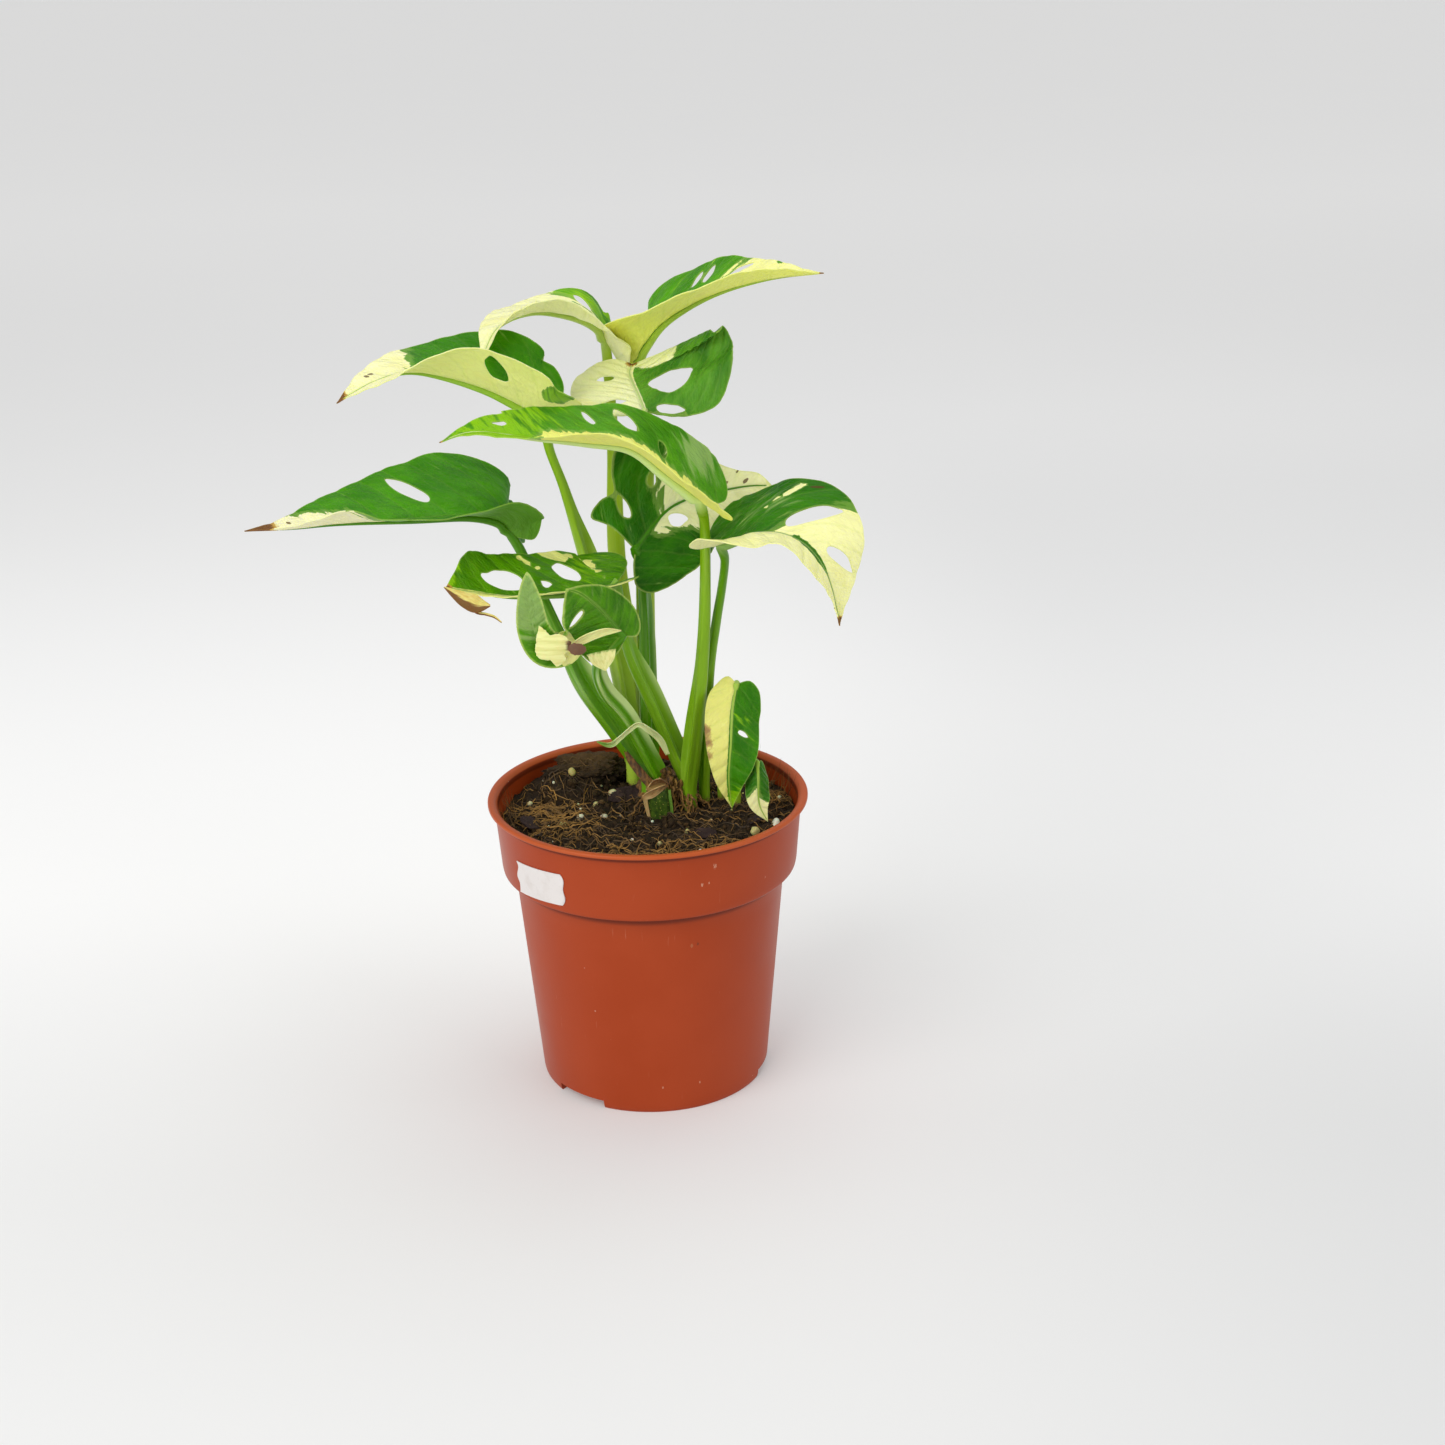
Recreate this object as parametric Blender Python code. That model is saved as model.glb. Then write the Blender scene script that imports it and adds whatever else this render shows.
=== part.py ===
"""A potted variegated swiss cheese vine: a plastic nursery pot, its soil, and twelve cut and pierced leaves.

Sizes are in millimetres up to the last step, which scales them to metres. The origin is the middle of the
pot's base, +Z is up, and the plant's front looks along -Y.
"""
import math

import bpy
from mathutils import Vector, noise
from mathutils.geometry import delaunay_2d_cdt

MM = 0.001
GAP = 0.35

# Pot
POT_HEIGHT = 112.0
RIM_RADIUS = 60.0
RIM_BAND = 27.6
LIP_HEIGHT = 1.6
BAND_TOP_RADIUS = 57.6
BAND_FOOT_RADIUS = 55.5
BODY_TOP_RADIUS = 51.0
BASE_RADIUS = 43.5
WALL = 1.5
LIP = 2.6
FOOT_WIDTH = 4.0
CENTRE_PAD_RADIUS = 24.0
CHANNEL_HEIGHT = 3.2
FLOOR_THICKNESS = 1.6
POT_SIDES = 48
NOTCH_ANGLES = (-132.0, -12.0, 108.0)
NOTCH_WIDTH = 22.0
DRAIN_COUNT = 6
DRAIN_RADIUS = 3.5
DRAIN_RING_RADIUS = 32.0

# Label on the rim band
LABEL_LENGTH = 25.2
LABEL_HEIGHT = 12.6
LABEL_THICKNESS = 0.35
LABEL_ANGLE = -136.5
LABEL_TOP_BELOW_RIM = 12.4
LABEL_TILT = 4.0

# Soil
SOIL_LEVEL = 103.0
SOIL_FLOOR = 5.15
SOIL_STEP = 8.0
SOIL_MOUNDS = ((-26, 30, 15, 6.5), (-36, 22, 9, 2.5), (30, 30, 14, 2.0), (-20, -30, 16, 1.5))
HOLE_FLOOR = 81.5
FOOT_TOP = 112.0
FOOT_STRAIGHT = 106.0
FOOT_END = 82.0

# Short stem and cut petiole, as place in the soil and radius
VINE_STEM = ((9.5, 17.0), 3.0)
CUT_PETIOLE = ((4.5, -1.5), 4.0)

# Leaves
BLADE_THICKNESS = 0.8
BLADE_STEP = 9.0
MARGIN_STEP = 6.0
HOLE_POINTS = 9
STEM_SIDES = 6
RIB_SHARE = 0.8
RIB_STEP = 11.0
RIB_TAPER = 0.75
RIB_SINK = 0.15
CURVE_STEPS = 60
STEM_BROAD = (1, 0.3, 0.1)
SHARP_ANGLE = 42.0

# Half outline of a blade: how far along the midrib and how far out, as shares of length and half width
OVATE = ((0, 0), (-0.05, 0.12), (-0.11, 0.34), (-0.08, 0.62), (0.04, 0.88), (0.2, 1.0), (0.38, 0.97),
         (0.56, 0.8), (0.73, 0.52), (0.88, 0.2), (0.95, 0.07), (1.0, 0))
SLIM = ((0, 0), (-0.03, 0.14), (-0.06, 0.4), (0.0, 0.7), (0.14, 0.95), (0.3, 1.0), (0.5, 0.9),
        (0.68, 0.66), (0.84, 0.34), (0.94, 0.12), (1.0, 0))
BROAD = ((0, 0), (-0.08, 0.14), (-0.16, 0.4), (-0.13, 0.7), (0.02, 0.94), (0.22, 1.0), (0.45, 0.95),
         (0.68, 0.75), (0.86, 0.45), (0.96, 0.16), (1.0, 0))
ROUND = ((0, 0), (-0.05, 0.14), (-0.07, 0.4), (0.02, 0.7), (0.22, 0.92), (0.5, 1.0), (0.78, 1.0), (1.0, 0.86),
         (1.1, 0.6), (1.09, 0.3), (1.03, 0.1), (1.0, 0))

WRAPPED = ((0, 0), (-0.12, 0.2), (-0.2, 0.6), (-0.15, 0.95), (0.1, 1.0), (0.4, 0.95), (0.7, 1.0),
           (0.95, 0.85), (1.0, 0.4), (1.0, 0))
BLUNT = ((0, 0), (-0.08, 0.14), (-0.16, 0.4), (-0.13, 0.7), (0.02, 0.94), (0.22, 1.0), (0.45, 0.95),
         (0.68, 0.86), (0.84, 0.76), (0.92, 0.58), (0.96, 0.3), (1.0, 0))
STRAP = ((0, 0), (0.0, 0.6), (0.1, 0.95), (0.3, 1.0), (0.5, 0.88), (0.72, 0.7), (0.88, 0.42), (0.97, 0.16),
         (1.0, 0))

NOTCHED = ((0, 0), (0.03, 0.4), (0.0, 0.68), (0.11, 0.71), (0.19, 0.64), (0.26, 0.86), (0.33, 1.0),
           (0.47, 0.8), (0.65, 0.42), (0.8, 0.22), (0.92, 0.15), (1.0, 0))


def half(width, lift, curl=0.0, outline=OVATE, holes=()):
    """One side of a blade: half width, its lift angles from base to tip, and how much it curls upward.

    A hole is (share along, share out, length, width, heading from the midrib).
    """
    return {"width": width, "lift": lift, "curl": curl, "outline": outline, "holes": holes}


LEAVES = {
    "leaf_top_right": {
        "spine": ((1, 48, 265), (4, 44, 272), (12, 39, 282), (28, 31, 292), (47, 25, 298), (68, 19, 301)),
        "facing": (0, -0.1, 1),
        "left": half(26, (42, 26, 22, 20, 30), 0,
                     holes=((0.4, 0.62, 9, 4, 70), (0.47, 0.58, 9, 4, 62), (0.63, 0.4, 11, 3.2, 25))),
        "right": half(20, (85, 24, 22, 36, 60), 0, outline=SLIM),
        "petiole": ((1, 48, 265), (2, 49, 256), (1, 48, 220), (0, 45, 172)),
        "foot": (-0.5, 43.0),
        "radii": (1.5, 1.7, 2.2, 2.4),
    },
    "leaf_top_middle": {
        "spine": ((-11, 54, 272), (-13, 51, 278), (-22, 42, 284), (-36, 28, 288), (-48, 14, 285),
                  (-54, 5, 275)),
        "facing": (0, -0.2, 1),
        "left": half(20, (-10, -4, 24, 46, 60), 0),
        "right": half(22, (52, 6, -12, -12, 0), 0, holes=((0.12, 0.6, 9, 3, 70), (0.3, 0.6, 10, 4, 60))),
        "petiole": ((-11, 54, 272), (-10, 54, 263), (-9, 50, 230), (-9, 44, 190), (-5, 40, 150)),
        "foot": (-5.5, 37.0),
        "radii": (1.6, 2.2, 3.2, 3.4, 3.2),
    },
    "leaf_upper_left": {
        "spine": ((-31, 10, 255), (-38, 8, 257), (-52, 5, 265), (-68, 2, 271), (-80, 0, 273), (-92, -3, 270),
                  (-104, -6, 264)),
        "facing": (0, 0, 1),
        "left": half(24, (32, 42, 38, 6, -14), 0, holes=((0.325, 0.61, 14, 6.5, 53),)),
        "right": half(25, (72, 60, 28, 18, 40), 0, outline=SLIM),
        "petiole": ((-31, 10, 255), (-32, 13, 243), (-27, 18, 225), (-20, 23, 197), (-11, 29, 159)),
        "foot": (-5.0, 29.5),
        "radii": (1.6, 1.8, 2.9, 3.6, 3.2),
    },
    "leaf_upper_centre": {
        "spine": ((3, 8, 255), (1, 17, 259), (-1, 26, 262), (-2, 34, 264), (-1, 40, 266)),
        "facing": (0, -0.3, 1),
        "left": half(23, (19, 13, 10, 5, 1), -39, outline=ROUND,
                     holes=((0.2, 0.45, 10, 3.5, 88), (0.72, 0.4, 7, 4, 80))),
        "right": half(39, (-17, 3, 0, 9, 14), 33, outline=ROUND,
                      holes=((0.43, 0.36, 17, 13, 75), (0.035, 0.25, 10.5, 4.2, 95))),
        "petiole": ((3, 8, 255), (5, 14, 250), (5, 24, 240), (4, 31, 220), (3, 34, 186)),
        "foot": (1.5, 36.0),
        "radii": (1.5, 1.7, 2.0, 2.2),
    },
    "leaf_middle_long": {
        "spine": ((21, -18, 229), (18, -19, 232), (10, -21, 239), (-2, -23, 249), (-17, -25, 252),
                  (-36, -28, 255), (-55, -30, 258), (-67, -31, 255)),
        "facing": (0, 0, 1),
        "left": half(20, (8, 10, 24, 4, -28), 0),
        "right": half(26, (54, 28, 20, 34, 36), 0,
                      holes=((0.34, 0.64, 12, 4.5, 60), (0.2, 0.42, 8, 3.6, 65), (0.46, 0.62, 8, 2.6, 60),
                             (0.805, 0.385, 5.2, 1.7, -10), (0.787, 0.2, 5.2, 1.9, -12))),
        "petiole": ((21, -18, 229), (23, -9, 217), (23, -3, 195), (22, 0, 171), (19, 3, 139)),
        "foot": (15.5, 3.5),
        "radii": (1.7, 1.9, 2.2, 2.6, 3.0),
    },
    "leaf_dark_centre": {
        "spine": ((-2, 1, 206), (4, 5, 213), (11, 9, 219), (20, 13, 222), (30, 17, 223), (40, 19, 224),
                  (49, 19, 224)),
        "facing": (0, -1, 0.2),
        "left": half(29, (0, 0, 0, 0, 0), 0, outline=NOTCHED,
                     holes=((0.16, 0.44, 9, 3.2, 69), (0.34, 0.43, 5, 2.2, 70))),
        "right": half(23, (-30, -10, 0, -25, -40), 6, outline=BROAD, holes=((0.34, 0.22, 9, 5, 17),)),
        "petiole": ((-2, 1, 206), (0, 7, 199), (1, 14, 183), (1, 20, 158), (1, 25, 132)),
        "foot": (1.5, 28.5),
        "radii": (1.7, 2.2, 2.8, 2.9),
    },
    "leaf_right": {
        "spine": ((28, -13, 211), (32, -15, 213), (41, -19, 217), (51, -23, 217), (59, -28, 213),
                  (65, -33, 204), (69, -36, 187)),
        "facing": (0.3, 0, 1),
        "left": half(31, (36, 29, 38, 28, 60), 0,
                     holes=((0.44, 0.43, 19, 5.4, 60), (0.675, 0.28, 12.5, 4.6, 30))),
        "right": half(18, (14, -8, 0, -2, 6), 0),
        "petiole": ((28, -13, 211), (30, -8, 204), (29, -1, 191), (27, 4, 177), (24, 8, 154)),
        "foot": (21.5, 9.5),
        "radii": (1.5, 1.6, 1.8, 2.0, 2.1),
    },
    "leaf_large_left": {
        "spine": ((-48, 18, 209), (-51, 17, 214), (-62, 15, 217), (-82, 12, 217), (-108, 9, 217),
                  (-126, 7, 216), (-142, 6, 216)),
        "facing": (0, 0, 1),
        "left": half(20, (66, 24, 12, 14, 18, 32, 28, 18, 4), 0, outline=SLIM),
        "right": half(34, (24, 30, 22, 17, 10), 0, holes=((0.4, 0.5, 22, 6, 45),)),
        "petiole": ((-48, 18, 209), (-44, 18, 202), (-36, 18, 182), (-25, 16, 155), (-13, 15, 135)),
        "foot": (1.5, 14.0),
        "radii": (1.6, 1.9, 2.4, 4.2, 3.9),
    },
    "leaf_low_left": {
        "spine": ((-9, -2, 195), (-15, -5, 194), (-30, -10, 194), (-47, -15, 195), (-60, -18, 198),
                  (-69, -19, 200)),
        "facing": (0, 0, 1),
        "left": half(12, (18, 20, 18, 2, -30), 0),
        "right": half(26, (14, 18, 22, 30, 48), 0, outline=BLUNT,
                      holes=((0.66, 0.33, 17, 10.5, 4), (0.4, 0.24, 4.5, 3.5, 60), (0.25, 0.5, 13, 8, 60))),
        "petiole": ((-9, -2, 195), (-8, 0, 184), (-5, 3, 167), (3, 8, 145)),
        "foot": (15.0, 11.5),
        "radii": (1.6, 2.2, 3.0, 3.1),
    },
    "leaf_twisted": {
        "spine": ((-7, -22, 181), (-14, -27, 192), (-21, -32, 200), (-26, -35, 203)),
        "facing": (0, -1, 0.3),
        "left": half(17, (-19, -1, 9, 18, 20), -9, outline=WRAPPED, holes=((0.7, 0.5, 8, 3, 70),)),
        "right": half(10, (7, 0, -6, -9, -11), -38, outline=OVATE),
        "petiole": ((-7, -22, 181), (-12, -20, 175), (-17, -14, 167), (-15, -6, 155), (-7, 1, 141)),
        "foot": (5.5, 7.5),
        "radii": (1.4, 1.8, 2.4, 2.4),
        "lobe": {
            "spine": ((-24, -36, 185), (-28, -38, 182), (-34, -40, 183), (-38, -41, 190), (-39, -41, 201),
                      (-39, -40, 211)),
            "facing": (0.2, -1, 0.1),
            "left": half(6, (10, 10, 0, 0, 0), 0, outline=STRAP),
            "right": half(7, (10, 10, 0, 0, 0), 0, outline=STRAP),
        },
    },
    "leaf_young": {
        "spine": ((34, 2, 153), (32, -5, 146), (31, -10, 134), (30, -12, 121), (31, -12, 109)),
        "facing": (0, -1, 0.2),
        "left": half(13, (-12, -38, -26, 4, 20), 0, outline=SLIM, holes=((0.4, 0.4, 5, 2, 65),)),
        "right": half(10, (-20, -2, 0, 2, 10), 0, outline=SLIM),
        "petiole": ((34, 2, 153), (34, 7, 151), (31, 12, 141), (29, 13, 125)),
        "foot": (28.0, 12.0),
        "radii": (1.1, 1.3, 1.5, 1.5),
    },
    "leaf_rim": {
        "spine": ((41, -6, 125), (41, -11, 121), (41, -15, 112), (44, -18, 106)),
        "facing": (0.2, -0.8, 0.5),
        "left": half(6, (-50, -48, -36, 10, 16), 0, outline=SLIM),
        "right": half(6, (-70, -60, -44, -17, -18), 0, outline=SLIM),
        "petiole": ((41, -6, 125), (39, -2, 124), (36, 3, 118)),
        "foot": (34.0, 5.0),
        "radii": (0.9, 1.1, 1.2),
    },
}


def new_object(name, points, faces):
    """A mesh object from points in millimetres."""
    mesh = bpy.data.meshes.new(name)
    mesh.from_pydata([Vector(point) * MM for point in points], [], faces)
    mesh.validate()
    target = bpy.data.objects.new(name, mesh)
    bpy.context.scene.collection.objects.link(target)
    return target


def spline(points, share):
    """A point on the smooth curve through the given points, at a share of its point count."""
    points = [Vector(point) for point in points]
    last = len(points) - 1
    place = min(max(share, 0.0), 1.0) * last
    index = min(int(place), last - 1)
    t = place - index
    before = points[index - 1] if index > 0 else points[index] * 2 - points[index + 1]
    after = points[index + 2] if index + 2 <= last else points[last] * 2 - points[last - 1]
    start, end = points[index], points[index + 1]
    return 0.5 * ((2 * start) + (end - before) * t + (2 * before - 5 * start + 4 * end - after) * t * t
                  + (3 * start - before - 3 * end + after) * t * t * t)


def even_curve(points, count):
    """Points at even distances along the smooth curve through the given points."""
    fine = [spline(points, index / 200) for index in range(201)]
    reach = [0.0]
    for first, second in zip(fine, fine[1:]):
        reach.append(reach[-1] + (second - first).length)
    curve = []
    cursor = 0
    for index in range(count):
        wanted = reach[-1] * index / (count - 1)
        while cursor < 199 and reach[cursor + 1] < wanted:
            cursor += 1
        span = reach[cursor + 1] - reach[cursor]
        curve.append(fine[cursor].lerp(fine[cursor + 1], (wanted - reach[cursor]) / span))
    return curve, reach[-1]


def at_share(values, share):
    """A smooth value between evenly spaced ones."""
    return spline([(value, 0, 0) for value in values], share).x


class Blade:
    """The surface of a leaf: plan places to points in space."""

    def __init__(self, spec):
        self.spec = spec
        self.curve, self.length = even_curve(spec["spine"], CURVE_STEPS + 1)
        self.facing = Vector(spec["facing"]).normalized()

    def frame(self, share):
        """Midrib point, forward, left and upward directions at a share of the midrib."""
        held = min(max(share, 0.0), 1.0)
        place = held * CURVE_STEPS
        index = min(int(place), CURVE_STEPS - 1)
        origin = self.curve[index].lerp(self.curve[index + 1], place - index)
        low, high = max(index - 1, 0), min(index + 2, CURVE_STEPS)
        forward = (self.curve[high] - self.curve[low]).normalized()
        left = self.facing.cross(forward).normalized()
        beyond = share - held
        origin = origin + forward * beyond * self.length
        return origin, forward, left, forward.cross(left)

    def point(self, along, across):
        """The point over a plan place: along the midrib and across it, in millimetres."""
        share = along / self.length
        origin, forward, left, up = self.frame(share)
        side = self.spec["left"] if across >= 0 else self.spec["right"]
        outward = left if across >= 0 else -left
        distance = abs(across)
        start = math.radians(at_share(side["lift"], min(max(share, 0.0), 1.0)))
        curl = math.radians(side["curl"])
        if curl:
            radius = side["width"] / curl
            end = start + distance / radius
            flat = radius * (math.sin(end) - math.sin(start))
            rise = radius * (math.cos(start) - math.cos(end))
        else:
            flat = distance * math.cos(start)
            rise = distance * math.sin(start)
        return origin + outward * flat + up * rise

    def margin(self, sign, step):
        """The outline of one side in the plan, from the base to the tip."""
        side = self.spec["left"] if sign > 0 else self.spec["right"]
        controls = [(along * self.length, sign * out * side["width"], 0) for along, out in side["outline"]]
        rough = sum(math.dist(a, b) for a, b in zip(controls, controls[1:]))
        points, _ = even_curve(controls, max(8, round(rough / step)))
        return [(point.x, point.y) for point in points]

    def holes(self, points_each):
        """Outlines of the holes in the plan."""
        loops = []
        for sign, side in ((1, self.spec["left"]), (-1, self.spec["right"])):
            for along, out, length, width, heading in side["holes"]:
                turn = math.radians(heading)
                centre = (along * self.length, sign * out * side["width"])
                loop = []
                for index in range(points_each):
                    angle = 2 * math.pi * index / points_each
                    u = math.cos(angle) * length / 2
                    v = math.sin(angle) * width / 2 * (1 - 0.25 * math.cos(angle))
                    loop.append((centre[0] + u * math.cos(turn) - v * math.sin(turn),
                                 centre[1] + sign * (u * math.sin(turn) + v * math.cos(turn))))
                loops.append(loop)
        return loops


def inside(point, loop):
    """Whether a plan point lies inside a closed outline."""
    x, y = point
    found = False
    for (x1, y1), (x2, y2) in zip(loop, loop[1:] + loop[:1]):
        if (y1 > y) != (y2 > y) and x < x1 + (y - y1) * (x2 - x1) / (y2 - y1):
            found = not found
    return found


def clearance(point, loop):
    """Distance from a plan point to the nearest edge of a closed outline."""
    spot = Vector(point)
    best = 1e9
    for first, second in zip(loop, loop[1:] + loop[:1]):
        start, end = Vector(first), Vector(second)
        edge = end - start
        t = max(0.0, min(1.0, (spot - start).dot(edge) / max(edge.length_squared, 1e-12)))
        best = min(best, (start + edge * t - spot).length)
    return best


def plan_mesh(outline, holes, spine, step):
    """Triangles that fill an outline around its holes, with the line of points kept as edges."""
    loops = [outline] + holes
    points = []
    edges = []
    for loop in loops:
        first = len(points)
        points += [Vector(point) for point in loop]
        edges += [(first + index, first + (index + 1) % len(loop)) for index in range(len(loop))]
    for index, point in enumerate(spine):
        points.append(Vector(point))
        if index:
            edges.append((len(points) - 2, len(points) - 1))
    xs = [point[0] for point in outline]
    ys = [point[1] for point in outline]
    row = 0
    y = min(ys)
    while y < max(ys):
        x = min(xs) + (step / 2 if row % 2 else 0)
        while x < max(xs):
            spot = (x, y)
            free = not spine or abs(y) > step * 0.45 or x < 0
            if free and inside(spot, outline) and not any(inside(spot, hole) for hole in holes):
                if min(clearance(spot, loop) for loop in loops) > step * 0.45:
                    points.append(Vector(spot))
            x += step
        y += step * math.sqrt(3) / 2
        row += 1
    found, _, triangles, _, _, _ = delaunay_2d_cdt(points, edges, [], 0, 1e-5)
    kept = []
    for triangle in triangles:
        middle = sum((found[index] for index in triangle), Vector((0, 0))) / 3
        if inside(middle, outline) and not any(inside(middle, hole) for hole in holes):
            a, b, c = (found[index] for index in triangle)
            turned = (b - a).cross(c - a) < 0
            kept.append(tuple(reversed(triangle)) if turned else tuple(triangle))
    used = sorted({index for triangle in kept for index in triangle})
    order = {old: new for new, old in enumerate(used)}
    return [tuple(found[index]) for index in used], [tuple(order[index] for index in tri) for tri in kept]


def thick_sheet(points, triangles, thickness):
    """A closed sheet of even thickness around a triangulated surface, alike on both faces."""
    normals = [Vector() for _ in points]
    for a, b, c in triangles:
        normal = (points[b] - points[a]).cross(points[c] - points[a])
        for index in (a, b, c):
            normals[index] += normal
    offset = [normal.normalized() * thickness / 2 for normal in normals]
    solid = [point + shift for point, shift in zip(points, offset)]
    solid += [point - shift for point, shift in zip(points, offset)]
    count = len(points)
    faces = [tuple(triangle) for triangle in triangles]
    faces += [(c + count, b + count, a + count) for a, b, c in triangles]
    directed = set()
    for a, b, c in triangles:
        directed.update(((a, b), (b, c), (c, a)))
    for a, b in sorted(directed):
        if (b, a) not in directed:
            faces.append((b, a, a + count))
            faces.append((b, a + count, b + count))
    return solid, faces


def tube(path, radii, sides, flatten=1.0, broad=(1, 0, 0)):
    """A closed round or oval tube along a path, with a radius for each of its points."""
    broad = Vector(broad)
    points = []
    faces = []
    for index, centre in enumerate(path):
        low, high = max(index - 1, 0), min(index + 1, len(path) - 1)
        forward = (path[high] - path[low]).normalized()
        wide = (broad - forward * broad.dot(forward)).normalized()
        thin = forward.cross(wide)
        for turn in range(sides):
            angle = 2 * math.pi * (turn + 0.5) / sides
            points.append(centre + wide * (radii[index] * math.cos(angle))
                          + thin * (radii[index] * flatten * math.sin(angle)))
    for index in range(len(path) - 1):
        for turn in range(sides):
            a, b = index * sides + turn, index * sides + (turn + 1) % sides
            faces += [(a, b, b + sides), (a, b + sides, a + sides)]
    last = (len(path) - 1) * sides
    for turn in range(1, sides - 1):
        faces.append((0, turn + 1, turn))
        faces.append((last, last + turn, last + turn + 1))
    return points, faces


def combine(name, first, others, operation, solver="EXACT"):
    """Join solids to the first one, or cut them from it, and leave one plain mesh object."""
    for other in others:
        modifier = first.modifiers.new(operation.lower(), "BOOLEAN")
        modifier.operation = operation
        modifier.solver = solver
        modifier.object = other
    graph = bpy.context.evaluated_depsgraph_get()
    mesh = bpy.data.meshes.new_from_object(first.evaluated_get(graph))
    result = bpy.data.objects.new(name, mesh)
    bpy.context.scene.collection.objects.link(result)
    for used in [first] + others:
        bpy.data.objects.remove(used)
    result.name = name
    return result


def smooth(target):
    """Shade the round faces smooth and keep the sharp edges."""
    for polygon in target.data.polygons:
        polygon.use_smooth = True
    target.data.set_sharp_from_angle(angle=math.radians(SHARP_ANGLE))


def material(target, colour, roughness):
    """Give an object its own plain material."""
    surface = bpy.data.materials.new(target.name)
    surface.use_nodes = True
    shader = surface.node_tree.nodes["Principled BSDF"]
    shader.inputs["Base Color"].default_value = (*colour, 1.0)
    shader.inputs["Roughness"].default_value = roughness
    target.data.materials.clear()
    target.data.materials.append(surface)


def wall_radius(height):
    """Outer radius of the pot's body under its step."""
    step = POT_HEIGHT - RIM_BAND
    return BASE_RADIUS + (BODY_TOP_RADIUS - BASE_RADIUS) * height / step


def make_pot():
    """The pot: flared lip, rim band, step, tapered body, notched foot and a floor with drain holes."""
    step = POT_HEIGHT - RIM_BAND
    floor_top = CHANNEL_HEIGHT + FLOOR_THICKNESS
    outer = [
        (RIM_RADIUS - LIP, POT_HEIGHT - 0.3), (RIM_RADIUS - LIP / 2, POT_HEIGHT),
        (RIM_RADIUS, POT_HEIGHT - 0.8), (RIM_RADIUS, POT_HEIGHT - LIP_HEIGHT),
        (BAND_TOP_RADIUS, POT_HEIGHT - LIP_HEIGHT - 0.2),
        (BAND_FOOT_RADIUS, step + 1.2), (BAND_FOOT_RADIUS - 1.2, step), (BODY_TOP_RADIUS, step),
        (BASE_RADIUS, 0.0), (BASE_RADIUS - FOOT_WIDTH, 0.0), (BASE_RADIUS - FOOT_WIDTH - 1.0, CHANNEL_HEIGHT),
        (CENTRE_PAD_RADIUS + 1.0, CHANNEL_HEIGHT), (CENTRE_PAD_RADIUS, 0.0), (0.0, 0.0),
    ]
    inner = [
        (0.0, floor_top), (wall_radius(floor_top) - WALL, floor_top), (BODY_TOP_RADIUS - WALL, step + WALL),
        (BAND_FOOT_RADIUS - WALL, step + WALL), (BAND_TOP_RADIUS - WALL, POT_HEIGHT - 4.0),
        (BAND_TOP_RADIUS - WALL + 0.3, POT_HEIGHT - LIP_HEIGHT + 0.2),
    ]
    pot = turned_shell("pot_body", outer + inner)
    cutters = []
    for angle in NOTCH_ANGLES:
        turn = math.radians(angle)
        cutters.append(box_cutter(Vector((math.cos(turn), math.sin(turn), 0)) * BASE_RADIUS,
                                  (12.0, NOTCH_WIDTH, 2 * CHANNEL_HEIGHT), turn))
    for index in range(DRAIN_COUNT):
        turn = 2 * math.pi * (index + 0.5) / DRAIN_COUNT
        spot = Vector((math.cos(turn), math.sin(turn), 0)) * DRAIN_RING_RADIUS
        cutters.append(round_cutter(spot, DRAIN_RADIUS, 1.0, floor_top + 1.0, 16))
    pot = combine("pot", pot, cutters, "DIFFERENCE")
    material(pot, (0.42, 0.09, 0.04), 0.45)


def turned_shell(name, profile):
    """A turned shell from a closed profile of (radius, height) that crosses the axis once."""
    points = []
    faces = []
    rings = []
    for radius, height in profile:
        if radius < 1e-6:
            rings.append([len(points)])
            points.append(Vector((0, 0, height)))
            continue
        rings.append(list(range(len(points), len(points) + POT_SIDES)))
        for index in range(POT_SIDES):
            angle = 2 * math.pi * index / POT_SIDES
            points.append(Vector((radius * math.cos(angle), radius * math.sin(angle), height)))
    pairs = list(zip(rings, rings[1:])) + [(rings[-1], rings[0])]
    for upper, lower in pairs:
        if len(upper) == 1 and len(lower) == 1:
            continue
        for index in range(POT_SIDES):
            step = (index + 1) % POT_SIDES
            if len(upper) == 1:
                faces.append((upper[0], lower[index], lower[step]))
            elif len(lower) == 1:
                faces.append((upper[index], lower[0], upper[step]))
            else:
                faces.append((upper[index], lower[index], lower[step], upper[step]))
    return new_object(name, points, faces)


def box_cutter(centre, size, turn):
    """A box in millimetres, turned about the vertical."""
    points = []
    for x in (-0.5, 0.5):
        for y in (-0.5, 0.5):
            for z in (-0.5, 0.5):
                px, py = x * size[0], y * size[1]
                points.append(centre + Vector((px * math.cos(turn) - py * math.sin(turn),
                                               px * math.sin(turn) + py * math.cos(turn), z * size[2])))
    faces = [(0, 1, 3, 2), (4, 6, 7, 5), (0, 4, 5, 1), (2, 3, 7, 6), (0, 2, 6, 4), (1, 5, 7, 3)]
    return new_object("cutter", points, faces)


def round_cutter(spot, radius, low, high, sides):
    """A vertical cylinder between two heights."""
    path = [Vector((spot[0], spot[1], low)), Vector((spot[0], spot[1], high))]
    points, faces = tube(path, [radius, radius], sides)
    return new_object("cutter", points, faces)


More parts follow.
